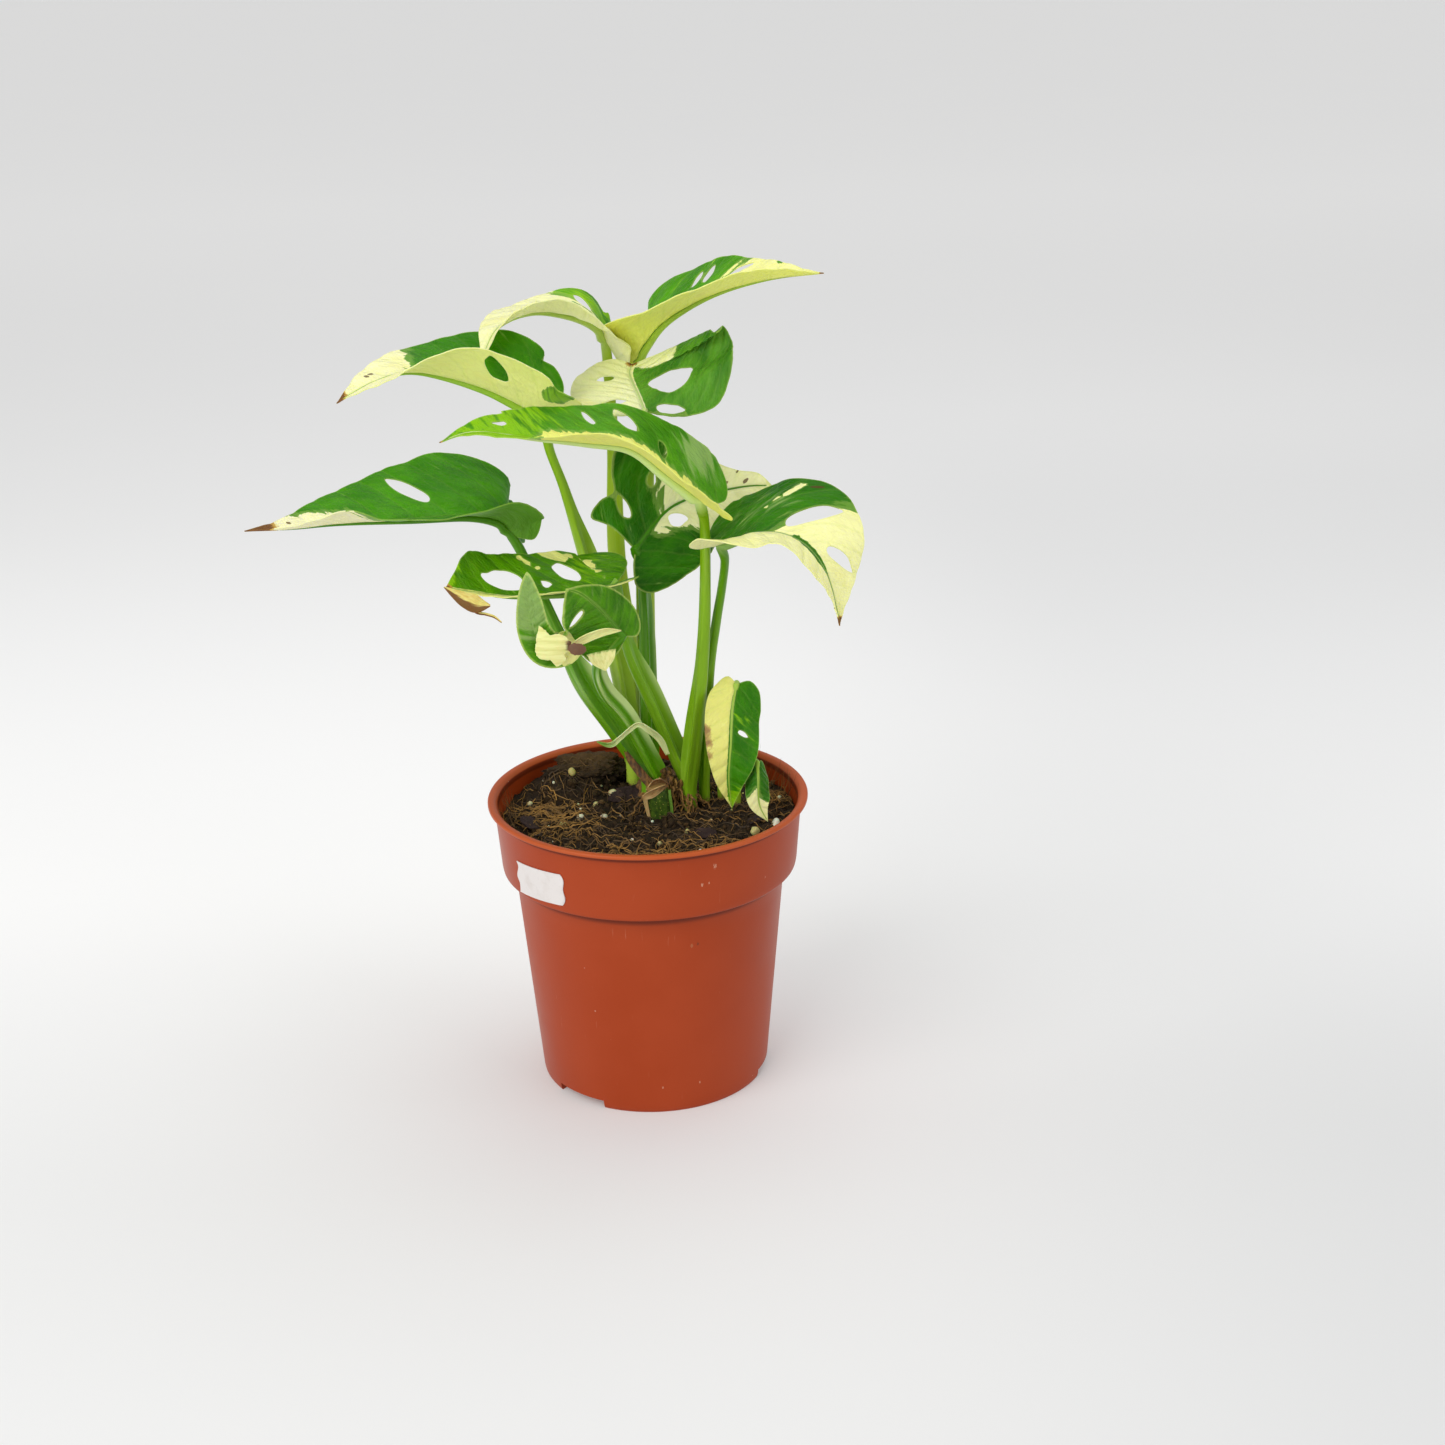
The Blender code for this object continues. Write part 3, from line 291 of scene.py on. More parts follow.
# Where each blade is cream: for both halves two rows of values at even shares from base to tip, one beside
# the midrib and one at the margin, above 0 where cream. A patch is (side, share along, share out, radius,
# amount) and is added. "lime" patches turn green to bright yellow-green, "pale" ones to streaked grey-green
# and "dry" ones to brown. A brown speck under "spots" is (side, share along, share out, radius).
PAINT = {
    "leaf_top_right": {
        "left": ((-2, -2, -1.6, 1.4, 2, 2), (-2, -2, -2, -1.6, -0.3, 2)),
        "right": ALL_CREAM,
        "lime": ((1, 0.3, 0.5, 40, 0.2), (-1, 0.0, 0.1, 9, 0.5)),
        "cream": ((1, 0.8, 0.35, 1.2, -3.5),),
        "dry": ((1, 1.0, 0, 1.8, 1.0),),
    },
    "leaf_top_middle": {
        "left": ALL_CREAM,
        "right": ((0.8, 1.5, 2, 2, 2, 2), (-3, -0.3, 2, 2, 2, 2)),
        "lime": ((-1, 0.1, 0.5, 30, 0.5),),
    },
    "leaf_upper_left": {
        "left": ALL_CREAM,
        "right": ((-2, -2, -2, -0.8, 2, 2), (-2, -2, -2, -0.8, 2, 2)),
        "cream": ((1, 0.04, 0.72, 7, -4.5),),
        "lime": ((1, 0.04, 0.72, 9, 0.6),),
        "dry": ((1, 1.0, 0, 3, 1.2), (-1, 0.98, 0.1, 3, 1)),
        "spots": ((-1, 0.81, 0.2, 0.9), (-1, 0.83, 0.17, 0.8), (-1, 0.93, 0.3, 0.7)),
    },
    "leaf_upper_centre": {
        "left": ALL_CREAM,
        "right": ALL_GREEN,
        "cream": ((-1, 1.02, 0.25, 9, 4.5),),
        "dry": ((1, 1.0, 0.0, 2.4, 1.0),),
    },
    "leaf_middle_long": {
        "left": ((2, 2, 2, 0.9, -3, -3), (2, 2, 2, 0.9, -3, -3)),
        "right": ((0.9, 1.2, 1.6, 1.2, -3, -3), (-5, -5, -5, -5, -2.2, -2.2)),
        "cream": ((-1, 0.66, 0.75, 3.0, 2.2), (-1, 0.6, 0.6, 2.6, 2.0), (-1, 0.86, 0.3, 2.4, 2.4)),
        "lime": ((-1, 0.8, 0.2, 24, 0.42), (-1, 0.62, 0.6, 14, 0.2), (1, 0.8, 0.4, 14, 0.6)),
        "pale": ((-1, 0.03, 0.62, 9, 0.75), (-1, 0.08, 0.8, 7, 0.7)),
        "dry": ((1, 1.0, 0, 1.3, 0.9),),
        "spots": ((-1, 0.26, 0.14, 0.8),),
    },
    "leaf_dark_centre": {
        "left": ((-2, -0.7, 1, 2, 2, 2), (-2, -2, -1.5, 1, 2, 2)),
        "right": ((-2, 0.7, 2, 2, 2, 2), (-3, -3, -3, -0.5, 2, 2)),
        "spots": ((1, 0.84, 0.07, 0.9), (1, 0.72, 0.08, 0.8), (1, 0.8, 0.2, 0.5)),
    },
    "leaf_right": {
        "left": ((-2, -1.3, 0.8, 2, 2, 2), (-2, -2, -2, 0.3, 2, 2)),
        "right": ALL_CREAM,
        "cream": ((1, 0.33, 0.76, 1.2, 3.0), (1, 0.345, 0.82, 1.2, 3.2), (1, 0.36, 0.88, 1.2, 3.2),
                  (1, 0.31, 0.7, 1.2, 3.2), (1, 0.285, 0.63, 1.1, 3.2), (1, 0.26, 0.56, 1.0, 3.0),
                  (1, 0.235, 0.49, 0.9, 2.8), (-1, 0.46, 0.02, 1.8, -5.0), (-1, 0.52, 0.03, 2.0, -5.0),
                  (-1, 0.58, 0.04, 2.2, -5.4), (-1, 0.64, 0.03, 2.0, -5.0), (-1, 0.7, 0.02, 1.5, -4.6)),
        "pale": ((1, 0.28, 0.62, 7, 0.5), (1, 0.12, 0.4, 6, 0.5)),
        "lime": ((1, 0.97, 0.2, 14, 0.3),),
        "dry": ((1, 1.0, 0, 3, 1.2), (-1, 1.0, 0, 2.4, 1.2)),
        "spots": ((1, 0.62, 0.85, 0.8), (1, 0.66, 0.8, 0.6), (-1, 0.9, 0.2, 0.5), (-1, 0.85, 0.5, 0.5),
                  (1, 0.4, 0.85, 0.9), (-1, 0.5, 0.9, 0.4), (-1, 0.58, 0.85, 0.35), (-1, 0.66, 0.9, 0.4),
                  (-1, 0.7, 0.75, 0.3)),
    },
    "leaf_large_left": {
        "left": ((-2, -2, -1, 1.5, 2, 2), (-2, -2, -2, -0.5, 1, 1)),
        "right": ((-4, -4, -2.2, 0.9, 1.7, 1.5), (-5, -5, -5, -5, -5, -4)),
        "dry": ((1, 1.0, 0, 8.5, 1.3), (-1, 1.0, 0, 8.5, 1.3)),
        "spots": ((-1, 0.84, 0.1, 0.9), (-1, 0.78, 0.06, 0.6)),
    },
    "leaf_low_left": {
        "left": ((-1.2, -0.6, -0.3, 0.5, 1.2, 2), (0.6, 1.4, 1.6, 1.8, 2, 2)),
        "right": ALL_GREEN,
        "cream": ((-1, 0.5, 0.84, 1.6, 4.4), (-1, 0.46, 0.74, 1.6, 4.4), (-1, 0.41, 0.62, 1.5, 4.0),
                  (-1, 0.33, 1.0, 3.0, 4.6), (-1, 0.28, 0.9, 3.0, 4.6), (-1, 0.23, 0.82, 2.2, 4.0),
                  (-1, 0.17, 0.9, 1.8, 4.2), (-1, 0.08, 0.84, 1.8, 3.8), (-1, 0.03, 0.7, 2.0, 3.8),
                  (-1, 0.03, 0.55, 2.0, 3.8), (-1, 0.03, 0.38, 1.7, 3.4), (-1, 0.03, 0.22, 1.4, 3.0)),
        "lime": ((-1, 0.08, 0.6, 13, 0.5), (-1, 1.02, 0.1, 4, 0.8), (-1, 0.98, 0.45, 3.4, 0.8),
                 (-1, 0.7, 0.6, 16, 0.15)),
        "dry": ((1, 1.0, 0, 2.4, 1.0),),
    },
    "leaf_twisted": {
        "left": ALL_GREEN,
        "right": ALL_GREEN,
        "pale": ((-1, 0.6, 0.4, 9, 0.55), (-1, 0.2, 0.5, 8, 0.35), (1, 0.5, 0.4, 14, -0.8)),
    },
    "leaf_young": {
        "left": ((-0.4, -1.2, -2, -2, -2, -2), (-2, -2, -2, -2, -2, -2)),
        "right": ALL_CREAM,
        "lime": ((1, 1.0, 0.2, 8, 0.9), (1, 0.75, 0.95, 4, 0.8), (1, 0.3, 0.2, 12, 0.3)),
        "dry": ((-1, 0.38, 0.95, 2.4, 0.9), (-1, 0.48, 0.85, 2.4, 0.8), (-1, 0.58, 0.78, 1.9, 0.75)),
    },
    "leaf_rim": {
        "left": ((-2, -1.5, -0.5, 0.4, 2, 2), (-2, -2, -2, -2, 0, 2)),
        "right": ((-2, -1.5, 0, 1.5, 2, 2), (-2, -2, -2, -0.5, 2, 2)),
    },
}

# Petioles: colour under the blade and at the foot, how pale the midrib is, the direction their groove faces,
# and the sheath as (share where it starts, share where it is full, width of its wings, paleness of its edge)
STALKS = {
    "leaf_top_right": ((0.33, 0.52, 0.015), (0.36, 0.54, 0.03), 0.35, (0.6, -0.8, 0), None),
    "leaf_top_middle": ((0.33, 0.5, 0.01), (0.42, 0.58, 0.03), 0.6, (-0.6, -0.8, 0), (0.5, 0.8, 1.6, 0.4)),
    "leaf_upper_left": ((0.26, 0.5, 0.008), (0.46, 0.66, 0.06), 0.3, (0.75, -0.6, 0), (0.26, 0.42, 1.8, 0.5)),
    "leaf_upper_centre": ((0.4, 0.56, 0.08), (0.36, 0.54, 0.03), 0.8, (0, -1, 0), None),
    "leaf_middle_long": ((0.24, 0.45, 0.005), (0.21, 0.42, 0.01), 1.0, (-0.9, -0.4, 0),
                         (0.55, 0.85, 1.8, 0.4)),
    "leaf_dark_centre": ((0.05, 0.22, 0.001), (0.13, 0.36, 0.003), 0.0, (0.85, -0.5, 0),
                         (0.1, 0.5, 1.3, 0.6)),
    "leaf_right": ((0.08, 0.27, 0.002), (0.22, 0.42, 0.01), 0.5, (-0.8, -0.5, 0), (0.6, 0.8, 1.0, 0.2)),
    "leaf_large_left": ((0.07, 0.25, 0.002), (0.15, 0.4, 0.004), 0.0, (0.72, -0.7, 0),
                        (0.42, 0.58, 3.0, 1.1)),
    "leaf_low_left": ((0.14, 0.36, 0.006), (0.26, 0.5, 0.015), 0.4, (0.85, -0.5, 0), (0.2, 0.5, 2.0, 0.75)),
    "leaf_twisted": ((0.07, 0.25, 0.002), (0.14, 0.4, 0.004), 0.0, (0.8, -0.55, 0), (0.1, 0.3, 2.2, 1.9)),
    "leaf_young": ((0.34, 0.54, 0.04), (0.26, 0.44, 0.02), 0.3, (0, -1, 0), (0.4, 0.7, 1.0, 0.5)),
    "leaf_rim": ((0.26, 0.44, 0.02), (0.26, 0.44, 0.02), 0.3, (0, -1, 0), None),
}

# Blade colours: green of the upper face, its deeper tone, cream
TONES = {
    "leaf_top_right": ((0.09, 0.35, 0.002), (0.035, 0.2, 0.001), (0.88, 0.92, 0.2)),
    "leaf_top_middle": ((0.09, 0.35, 0.002), (0.04, 0.2, 0.002), (1.0, 1.0, 0.5)),
    "leaf_upper_left": ((0.055, 0.27, 0.001), (0.025, 0.17, 0.001), (0.84, 0.9, 0.29)),
    "leaf_upper_centre": ((0.12, 0.35, 0.025), (0.03, 0.16, 0.01), (0.94, 0.96, 0.52)),
    "leaf_middle_long": ((0.09, 0.33, 0.003), (0.035, 0.19, 0.002), (0.86, 0.87, 0.2)),
    "leaf_dark_centre": ((0.034, 0.2, 0.001), (0.01, 0.09, 0.001), (0.9, 0.9, 0.5)),
    "leaf_right": ((0.04, 0.22, 0.001), (0.015, 0.125, 0.001), (0.98, 0.97, 0.44)),
    "leaf_large_left": ((0.07, 0.31, 0.002), (0.03, 0.19, 0.001), (0.95, 0.92, 0.55)),
    "leaf_low_left": ((0.11, 0.33, 0.001), (0.04, 0.18, 0.001), (0.9, 0.88, 0.3)),
    "leaf_twisted": ((0.11, 0.34, 0.006), (0.028, 0.14, 0.003), (0.92, 0.88, 0.34)),
    "leaf_young": ((0.055, 0.26, 0.001), (0.02, 0.15, 0.001), (0.88, 0.85, 0.24)),
    "leaf_rim": ((0.04, 0.2, 0.004), (0.015, 0.11, 0.002), (0.92, 0.88, 0.42)),
}
# Cream of the upper face, where it is paler than the under one
UPPER_CREAM = {
    "leaf_upper_left": (0.96, 0.95, 0.5),
    "leaf_top_right": (0.95, 0.95, 0.36),
}
# Lines drawn along a midrib, with their strength
RIB_LINES = {
    "leaf_twisted": ((0.5, 0.66, 0.14), 0.6),
    "leaf_right": ((0.05, 0.2, 0.005), 0.75),
    "leaf_large_left": ((0.2, 0.4, 0.04), 0.4),
}
# Blades whose margin is paler than usual: width and strength
PALE_MARGINS = {
    "leaf_twisted": (0.9, 0.5),
    "leaf_dark_centre": (0.8, 0.35),
}
# The lobe of the twisted leaf, and how far from its midrib the first drawn vein stays
LOBE_PAINT = {"left": ALL_GREEN, "right": ALL_GREEN, "cream": ((1, 0.0, 0, 8.5, 5),),
              "pale": ((1, 0.72, 0, 12, 1.1), (-1, 0.9, 0.3, 9, 0.5))}
LOBE_RIB_GAP = 2.5
# Dried parts, where they aren't yellow at the edge and dark brown in the middle: edge and two middle tones
DRIED = {
    "leaf_young": ((0.56, 0.42, 0.14), (0.32, 0.19, 0.075), (0.42, 0.27, 0.11)),
}
# Other colours of the plant
LIME = (0.26, 0.54, 0.006)
PALE_GREEN = (0.28, 0.44, 0.09)
WASHED_GREEN = (0.36, 0.5, 0.17)
BROWN = (0.1, 0.045, 0.018)
SEAR = (0.5, 0.3, 0.06)
TAN = (0.28, 0.13, 0.045)
MARGIN_TONE = (0.6, 0.7, 0.2)
GREENISH_CREAM = (0.6, 0.76, 0.16)
WARM_CREAM = (0.86, 0.76, 0.18)
CREAM_NET = (0.62, 0.5, 0.2)
CREAM_VEIN = (0.5, 0.68, 0.1)
STALK_STREAK = (0.42, 0.58, 0.1)
STALK_PALE = (0.7, 0.85, 0.36)
STALK_TAN = (0.26, 0.13, 0.04)
PAPER_GREEN = (0.16, 0.34, 0.03)
# How far light goes into a blade or petiole, for each colour and in metres
FLESH_REACH = (1.0, 1.0, 0.3)
FLESH_SCALE = 0.0014

# Colours of the pot
POT_COLOUR = (0.36, 0.044, 0.006)
POT_BLUSH = (0.39, 0.052, 0.01)
POT_SCRATCH = (0.6, 0.25, 0.16)
POT_SPECK = (0.62, 0.4, 0.3)
POT_GRAIN = (0.2, 0.035, 0.01)
POT_SHADE = (0.12, 0.016, 0.005)
# Painted highlight: a paler band along the top of the lip, where light falls on it
POT_LIP_HIGHLIGHT = (0.62, 0.14, 0.035)
PALE_SCUFF = (0.66, 0.36, 0.24)
DARK_SCUFF = (0.08, 0.03, 0.015)
TAN_SCUFF = (0.42, 0.16, 0.07)
# Marks on the pot's side: angle round it, height, reach and colour
SCUFFS = ((-66.2, 104.2, 1.6, PALE_SCUFF), (-71.2, 97.5, 0.9, PALE_SCUFF), (-68.5, 97.8, 0.6, PALE_SCUFF),
          (-42.2, 92.5, 0.9, PALE_SCUFF), (-70.8, 71.2, 0.8, DARK_SCUFF), (-73.5, 70.9, 1.0, TAN_SCUFF),
          (-87.2, 11.0, 0.6, PALE_SCUFF), (-68.8, 11.2, 0.6, PALE_SCUFF))

# Colours of the soil: dark and light parts of its top, its crumbs and its bark chips
SOIL_TONES = ((0.014, 0.007, 0.003), (0.06, 0.037, 0.016))
CRUMB_TONES = ((0.016, 0.009, 0.004), (0.06, 0.035, 0.013))
BARK_TONES = ((0.03, 0.016, 0.015), (0.075, 0.045, 0.04))
SHRED = (0.13, 0.075, 0.028)
GOLDEN = (0.36, 0.2, 0.07)
# The clod and a smaller one beside it: middle, half sizes, how far they lean to golden brown, and how much
# paler their top is, partly coir and partly painted light
CLODS = (((-22, 33, 108.8), (15.2, 9.4, 5.6), 0.0, 0.2), ((-36, 25, 105.6), (7.0, 5.6, 3.2), 0.02, 0.09))
# Bark chips: place, half length and width, heading and tilt
CHIPS = ((-7, 16, 8, 4, 20, 25), (-5, 24, 9, 3, 35, -20), (-44, -8, 6, 4, 100, 20), (20, -22, 5, 3, 10, 12),
         (40, -10, 5, 3.4, 60, -15))
# Feed pellets and perlite grains: place, size and paleness
PELLETS = ((-13.4, 17.6, 2.2, 0.3), (-25.7, -2.2, 1.5, 0.7), (-16.7, -2.0, 1.5, 0.8), (47.1, -16.0, 2.3, 1.0),
           (-28.9, 23.0, 1.7, 0.0), (-32.0, -8.5, 1.4, 0.1), (39.0, -21.0, 2.2, 0.1), (3.8, -30.1, 1.3, 0.2),
           (18.1, -39.4, 0.8, 1.0), (-6.3, -27.4, 0.7, 1.0), (14.0, -20.0, 1.2, 0.1), (-20.0, 9.0, 1.3, 0.1),
           (50.0, 8.0, 1.2, 0.5), (-45.0, 12.0, 1.2, 0.4), (20.0, 44.0, 1.6, 0.4))
# Tufts of coir: place, spread and number of fibres
TUFTS = ((-36, 4, 9, 60), (-30, -14, 9, 45), (5, -42, 6, 46), (-12, -42, 8, 30), (24, -36, 9, 30),
         (48, 8, 6, 28), (-46, 2, 6, 26))
CRUMB_COUNT = 1300
GRAIN_COUNT = 34
FIBRE_COUNT = 700
CLOD_FIBRE_COUNT = 70
RIM_HAIR_COUNT = 62
RIGHT_HAIR_COUNT = 46
SCATTER_REACH = 53.5
FIBRE_REACH = 54.6
PELLET_TONES = ((0.5, 0.44, 0.13), (0.75, 0.76, 0.6), (0.3, 0.24, 0.09))
COIR_TONES = ((0.035, 0.018, 0.006), (0.45, 0.23, 0.04), (0.09, 0.05, 0.02))

# Stem: its path, radii and the knobs round it, as places with radius, then how flat, tall and rough they are
STEM_PATH = ((9.5, 17, 98), (9.5, 17, 104), (9, 17, 108), (8.5, 16.5, 112), (8.3, 16.5, 114.5))
STEM_RADII = (3.2, 3.6, 3.4, 3.0, 0.8)
STEM_KNOBS = (
    (((3.5, 10, 104.5, 4.2), (8.0, 7.5, 104.0, 4.0), (0, 17, 104.5, 4.0), (13, 12, 104, 3.8),
      (-1, 21, 105, 3.6), (5, 22, 106, 3.8)), 0.9, 1.1, 0.3),
    (((2.5, 5, 111.0, 2.6), (7.6, 5.5, 113.6, 2.4), (10.8, 5.5, 109.5, 2.6), (7.0, 3.5, 106.5, 3.2),
      (13.2, 6.5, 105.5, 2.8), (1.8, 4, 106.0, 3.0), (6.6, 8, 117.0, 2.4)), 0.8, 1.2, 0.45),
)
STEM_SKIN = (((-8.6, 9.5, 126.5), (-5.8, 7.0, 122.0), (-1.6, 4.6, 117.0), (1.8, 3.0, 113.0),
              (3.6, 2.6, 109.0)),
             (0.5, 2.6, 3.2, 3.4, 3.0), (0.8, -0.1, 0.5))
BARK_SKIN = ((0.06, 0.026, 0.007), (0.32, 0.155, 0.036))
BARK_STAIN = (0.05, 0.028, 0.012)
ROOT_SKIN = ((0.13, 0.06, 0.012), (0.42, 0.22, 0.045))

# Cut petiole: its path and radii, the papery flaps as path, widths, cross directions, dryness at the start
# and how much it grows, and its green edge
STUB_PATH = ((4.5, -1.5, 97), (4.5, -1.5, 104), (4.0, -1.5, 110), (3.2, -1.2, 115.2))
STUB_RADII = (4.2, 4.3, 4.2, 3.8)
STUB_FLAPS = (
    (((-1.6, -3.8, 111.2), (1.0, -4.4, 113.0), (4.2, -4.4, 114.9), (7.4, -3.4, 115.8)),
     (1.6, 3.8, 3.2, 0.9), ((0.4, -0.2, 0.9), (0.3, -0.3, 0.9), (0.0, -0.4, 0.9), (-0.2, -0.4, 0.9)),
     0.1, 0.5),
    (((-1.3, -3.4, 112.4), (-0.8, -3.4, 108.5), (-0.2, -3.4, 105.0), (0.3, -3.2, 102.5)),
     (1.9, 1.5, 1.3, 1.0), (1, 0, 0.1), 0.0, 0.3),
    (((-0.6, -1.8, 113.6), (1.8, -0.6, 116.0), (5.0, -0.8, 117.0), (7.8, -1.6, 115.6)),
     (1.2, 2.8, 3.0, 1.2), ((0.2, -0.3, 0.9), (0.1, -0.5, 0.8), (0.0, -0.6, 0.8), (-0.2, -0.5, 0.8)),
     0.25, 0.6),
)
STUB_EDGE = (((8.0, -2.4, 113.6), (8.3, -2.6, 110.0), (8.7, -2.6, 106.0), (8.9, -2.5, 103.0)),
             (1.0, 1.1, 1.1, 0.9), (1, 0, 0.1))
STUB_TONES = ((0.02, 0.05, 0.003), (0.07, 0.13, 0.008), (0.5, 0.46, 0.1), (0.3, 0.18, 0.06))
STUB_PAPER = ((0.62, 0.42, 0.17), (0.42, 0.24, 0.08), (0.15, 0.07, 0.02))

# Dried sheath across the petioles: path, widths and cross directions, then its pale, warm and dark tones
SHEATH = (((-18.4, -2, 133.6), (-13.6, -2.5, 132.6), (-10.1, -3, 135.2), (-6.6, -4, 138.6), (-2.9, -5, 141.4),
           (0.8, -4, 139.0), (5.0, -1, 133.7), (7.9, 1, 126.7)),
          (0.5, 2.4, 2.2, 2.4, 2.8, 2.7, 2.4, 1.6),
          ((0.2, -0.3, 0.9), (0.2, -0.3, 0.9), (0.3, -0.4, 0.85), (0.4, -0.4, 0.8), (0.5, -0.5, 0.75),
           (0.7, -0.3, 0.6), (0.8, -0.2, 0.5), (0.9, -0.2, 0.3)))
SHEATH_PAPER = ((0.78, 0.84, 0.42), (0.56, 0.7, 0.22), (0.34, 0.2, 0.09))

# Torn scraps of the twisted leaf: outlines of (x, z), then strips as path, widths and cross direction
TORN_FOLD = ((-35.7, 192.2), (-33.6, 190.6), (-32.0, 189.2), (-28.6, 189.3), (-26.0, 187.6), (-24.2, 183.5),
             (-27.4, 182.2), (-26.9, 180.0), (-28.0, 178.8), (-30.2, 177.4), (-32.1, 179.8), (-35.5, 180.4),
             (-37.2, 182.3), (-36.9, 187.2))
BROWN_BIT = ((-25.6, 185.2), (-23.2, 186.2), (-19.9, 184.6), (-20.4, 182.6), (-23.7, 181.8), (-25.6, 183.2))
CURLED_STRIP = (((-25.5, -39.5, 183.6), (-20.8, -40.0, 186.2), (-17.7, -39.5, 187.4), (-13.1, -38.0, 188.2),
                 (-7.6, -36.0, 187.6)), (0.4, 3.4, 3.6, 2.8, 0.3), (-0.1, -0.4, 0.9))
HANGING_FOLD = (((-14.9, -33.0, 179.3), (-14.4, -33.4, 176.2), (-13.6, -33.0, 172.0)), (10.5, 7.5, 0.4),
                (1, 0.1, 0))
TORN_PAPER = ((0.86, 0.84, 0.36), (0.7, 0.68, 0.22), (0.15, 0.07, 0.03))

# Curled brown tip of the low left leaf, the same way
DRIED_TIP = (
    (((-69.4, -20.5, 200.6), (-65.4, -20.8, 198.0), (-61.6, -21.2, 195.8), (-57.8, -21.4, 194.0),
      (-53.5, -21.6, 193.6)), (0.3, 3.2, 5.6, 5.8, 0.6),
     ((0.4, 0.1, 0.9), (0.4, 0.1, 0.9), (0.45, 0.2, 0.9), (0.4, 0.3, 0.9), (0.3, 0.3, 0.9))),
    (((-62, -20.5, 195.2), (-58.7, -21, 191.3), (-55.1, -22, 190.6), (-52.0, -24, 190.1),
      (-49.5, -27, 189.0)),
     (0.5, 1.0, 0.9, 0.8, 0.3), (0.3, 0.3, 0.9)),
)
TIP_PAPER = ((0.88, 0.78, 0.24), (0.7, 0.52, 0.1), (0.2, 0.09, 0.018))

# Stage: the floor's reach and tones, and the lights as name, place, size, power and colour
FLOOR_REACH = 14.0
FLOOR_TONES = ((0.73, 0.735, 0.735), (0.75, 0.75, 0.745))
STUDIO_COLOUR = (0.98, 0.985, 1.0, 1.0)
STUDIO_STRENGTH = 0.5
LIGHTS = (
    ("front", (-0.95, -1.05, 1.0), 1.4, 17.0, (1.0, 0.99, 0.97)),
    ("top", (0.2, 0.5, 1.6), 1.2, 5.5, (1.0, 1.0, 1.0)),
    ("side", (1.2, -0.7, 0.8), 1.2, 5.5, (0.98, 0.99, 1.0)),
)
LIGHT_AIM = Vector((0, 0, 0.15))


def unit(vectors):
    """Vectors scaled to length one."""
    vectors = np.asarray(vectors, float)
    return vectors / np.maximum(np.linalg.norm(vectors, axis=-1, keepdims=True), 1e-12)


def around(sides):
    """Even angles round a full turn."""
    return np.arange(sides) * 2 * math.pi / sides


def spline(points, shares):
    """Points on the smooth curve through the given ones, at shares of their count."""
    points = np.asarray(points, float)
    last = len(points) - 1
    place = np.clip(np.asarray(shares, float), 0, 1) * last
    index = np.minimum(place.astype(int), last - 1)
    t = (place - index)[:, None]
    padded = np.vstack([2 * points[:1] - points[1:2], points, 2 * points[-1:] - points[-2:-1]])
    before, start, end, after = (padded[index + shift] for shift in range(4))
    return 0.5 * (2 * start + (end - before) * t + (2 * before - 5 * start + 4 * end - after) * t ** 2
                  + (3 * start - before - 3 * end + after) * t ** 3)


def even_curve(points, count):
    """Points at even distances along the smooth curve through the given points, and its length."""
    fine = spline(points, np.linspace(0, 1, 401))
    reach = np.concatenate([[0], np.cumsum(np.linalg.norm(np.diff(fine, axis=0), axis=1))])
    wanted = np.linspace(0, reach[-1], count)
    return np.stack([np.interp(wanted, reach, fine[:, axis]) for axis in range(fine.shape[1])], 1), reach[-1]


def at_share(values, shares):
    """Smooth values between evenly spaced ones."""
    return spline(np.asarray(values, float)[:, None], shares)[:, 0]


def rough(points, scale, seed):
    """Smooth noise from -1 to 1 at the given places, in the plan or in space."""
    places = np.asarray(points, float) * scale
    if places.shape[1] == 2:
        return np.array([noise.noise(Vector((x, y, seed))) for x, y in places])
    return np.array([noise.noise(Vector(place) + Vector((0, 0, seed))) for place in places])


def with_ends(values):
    """The values of a tube's points with those of its two end points, which repeat the first and the last."""
    return np.concatenate([values, values[:1], values[-1:]])


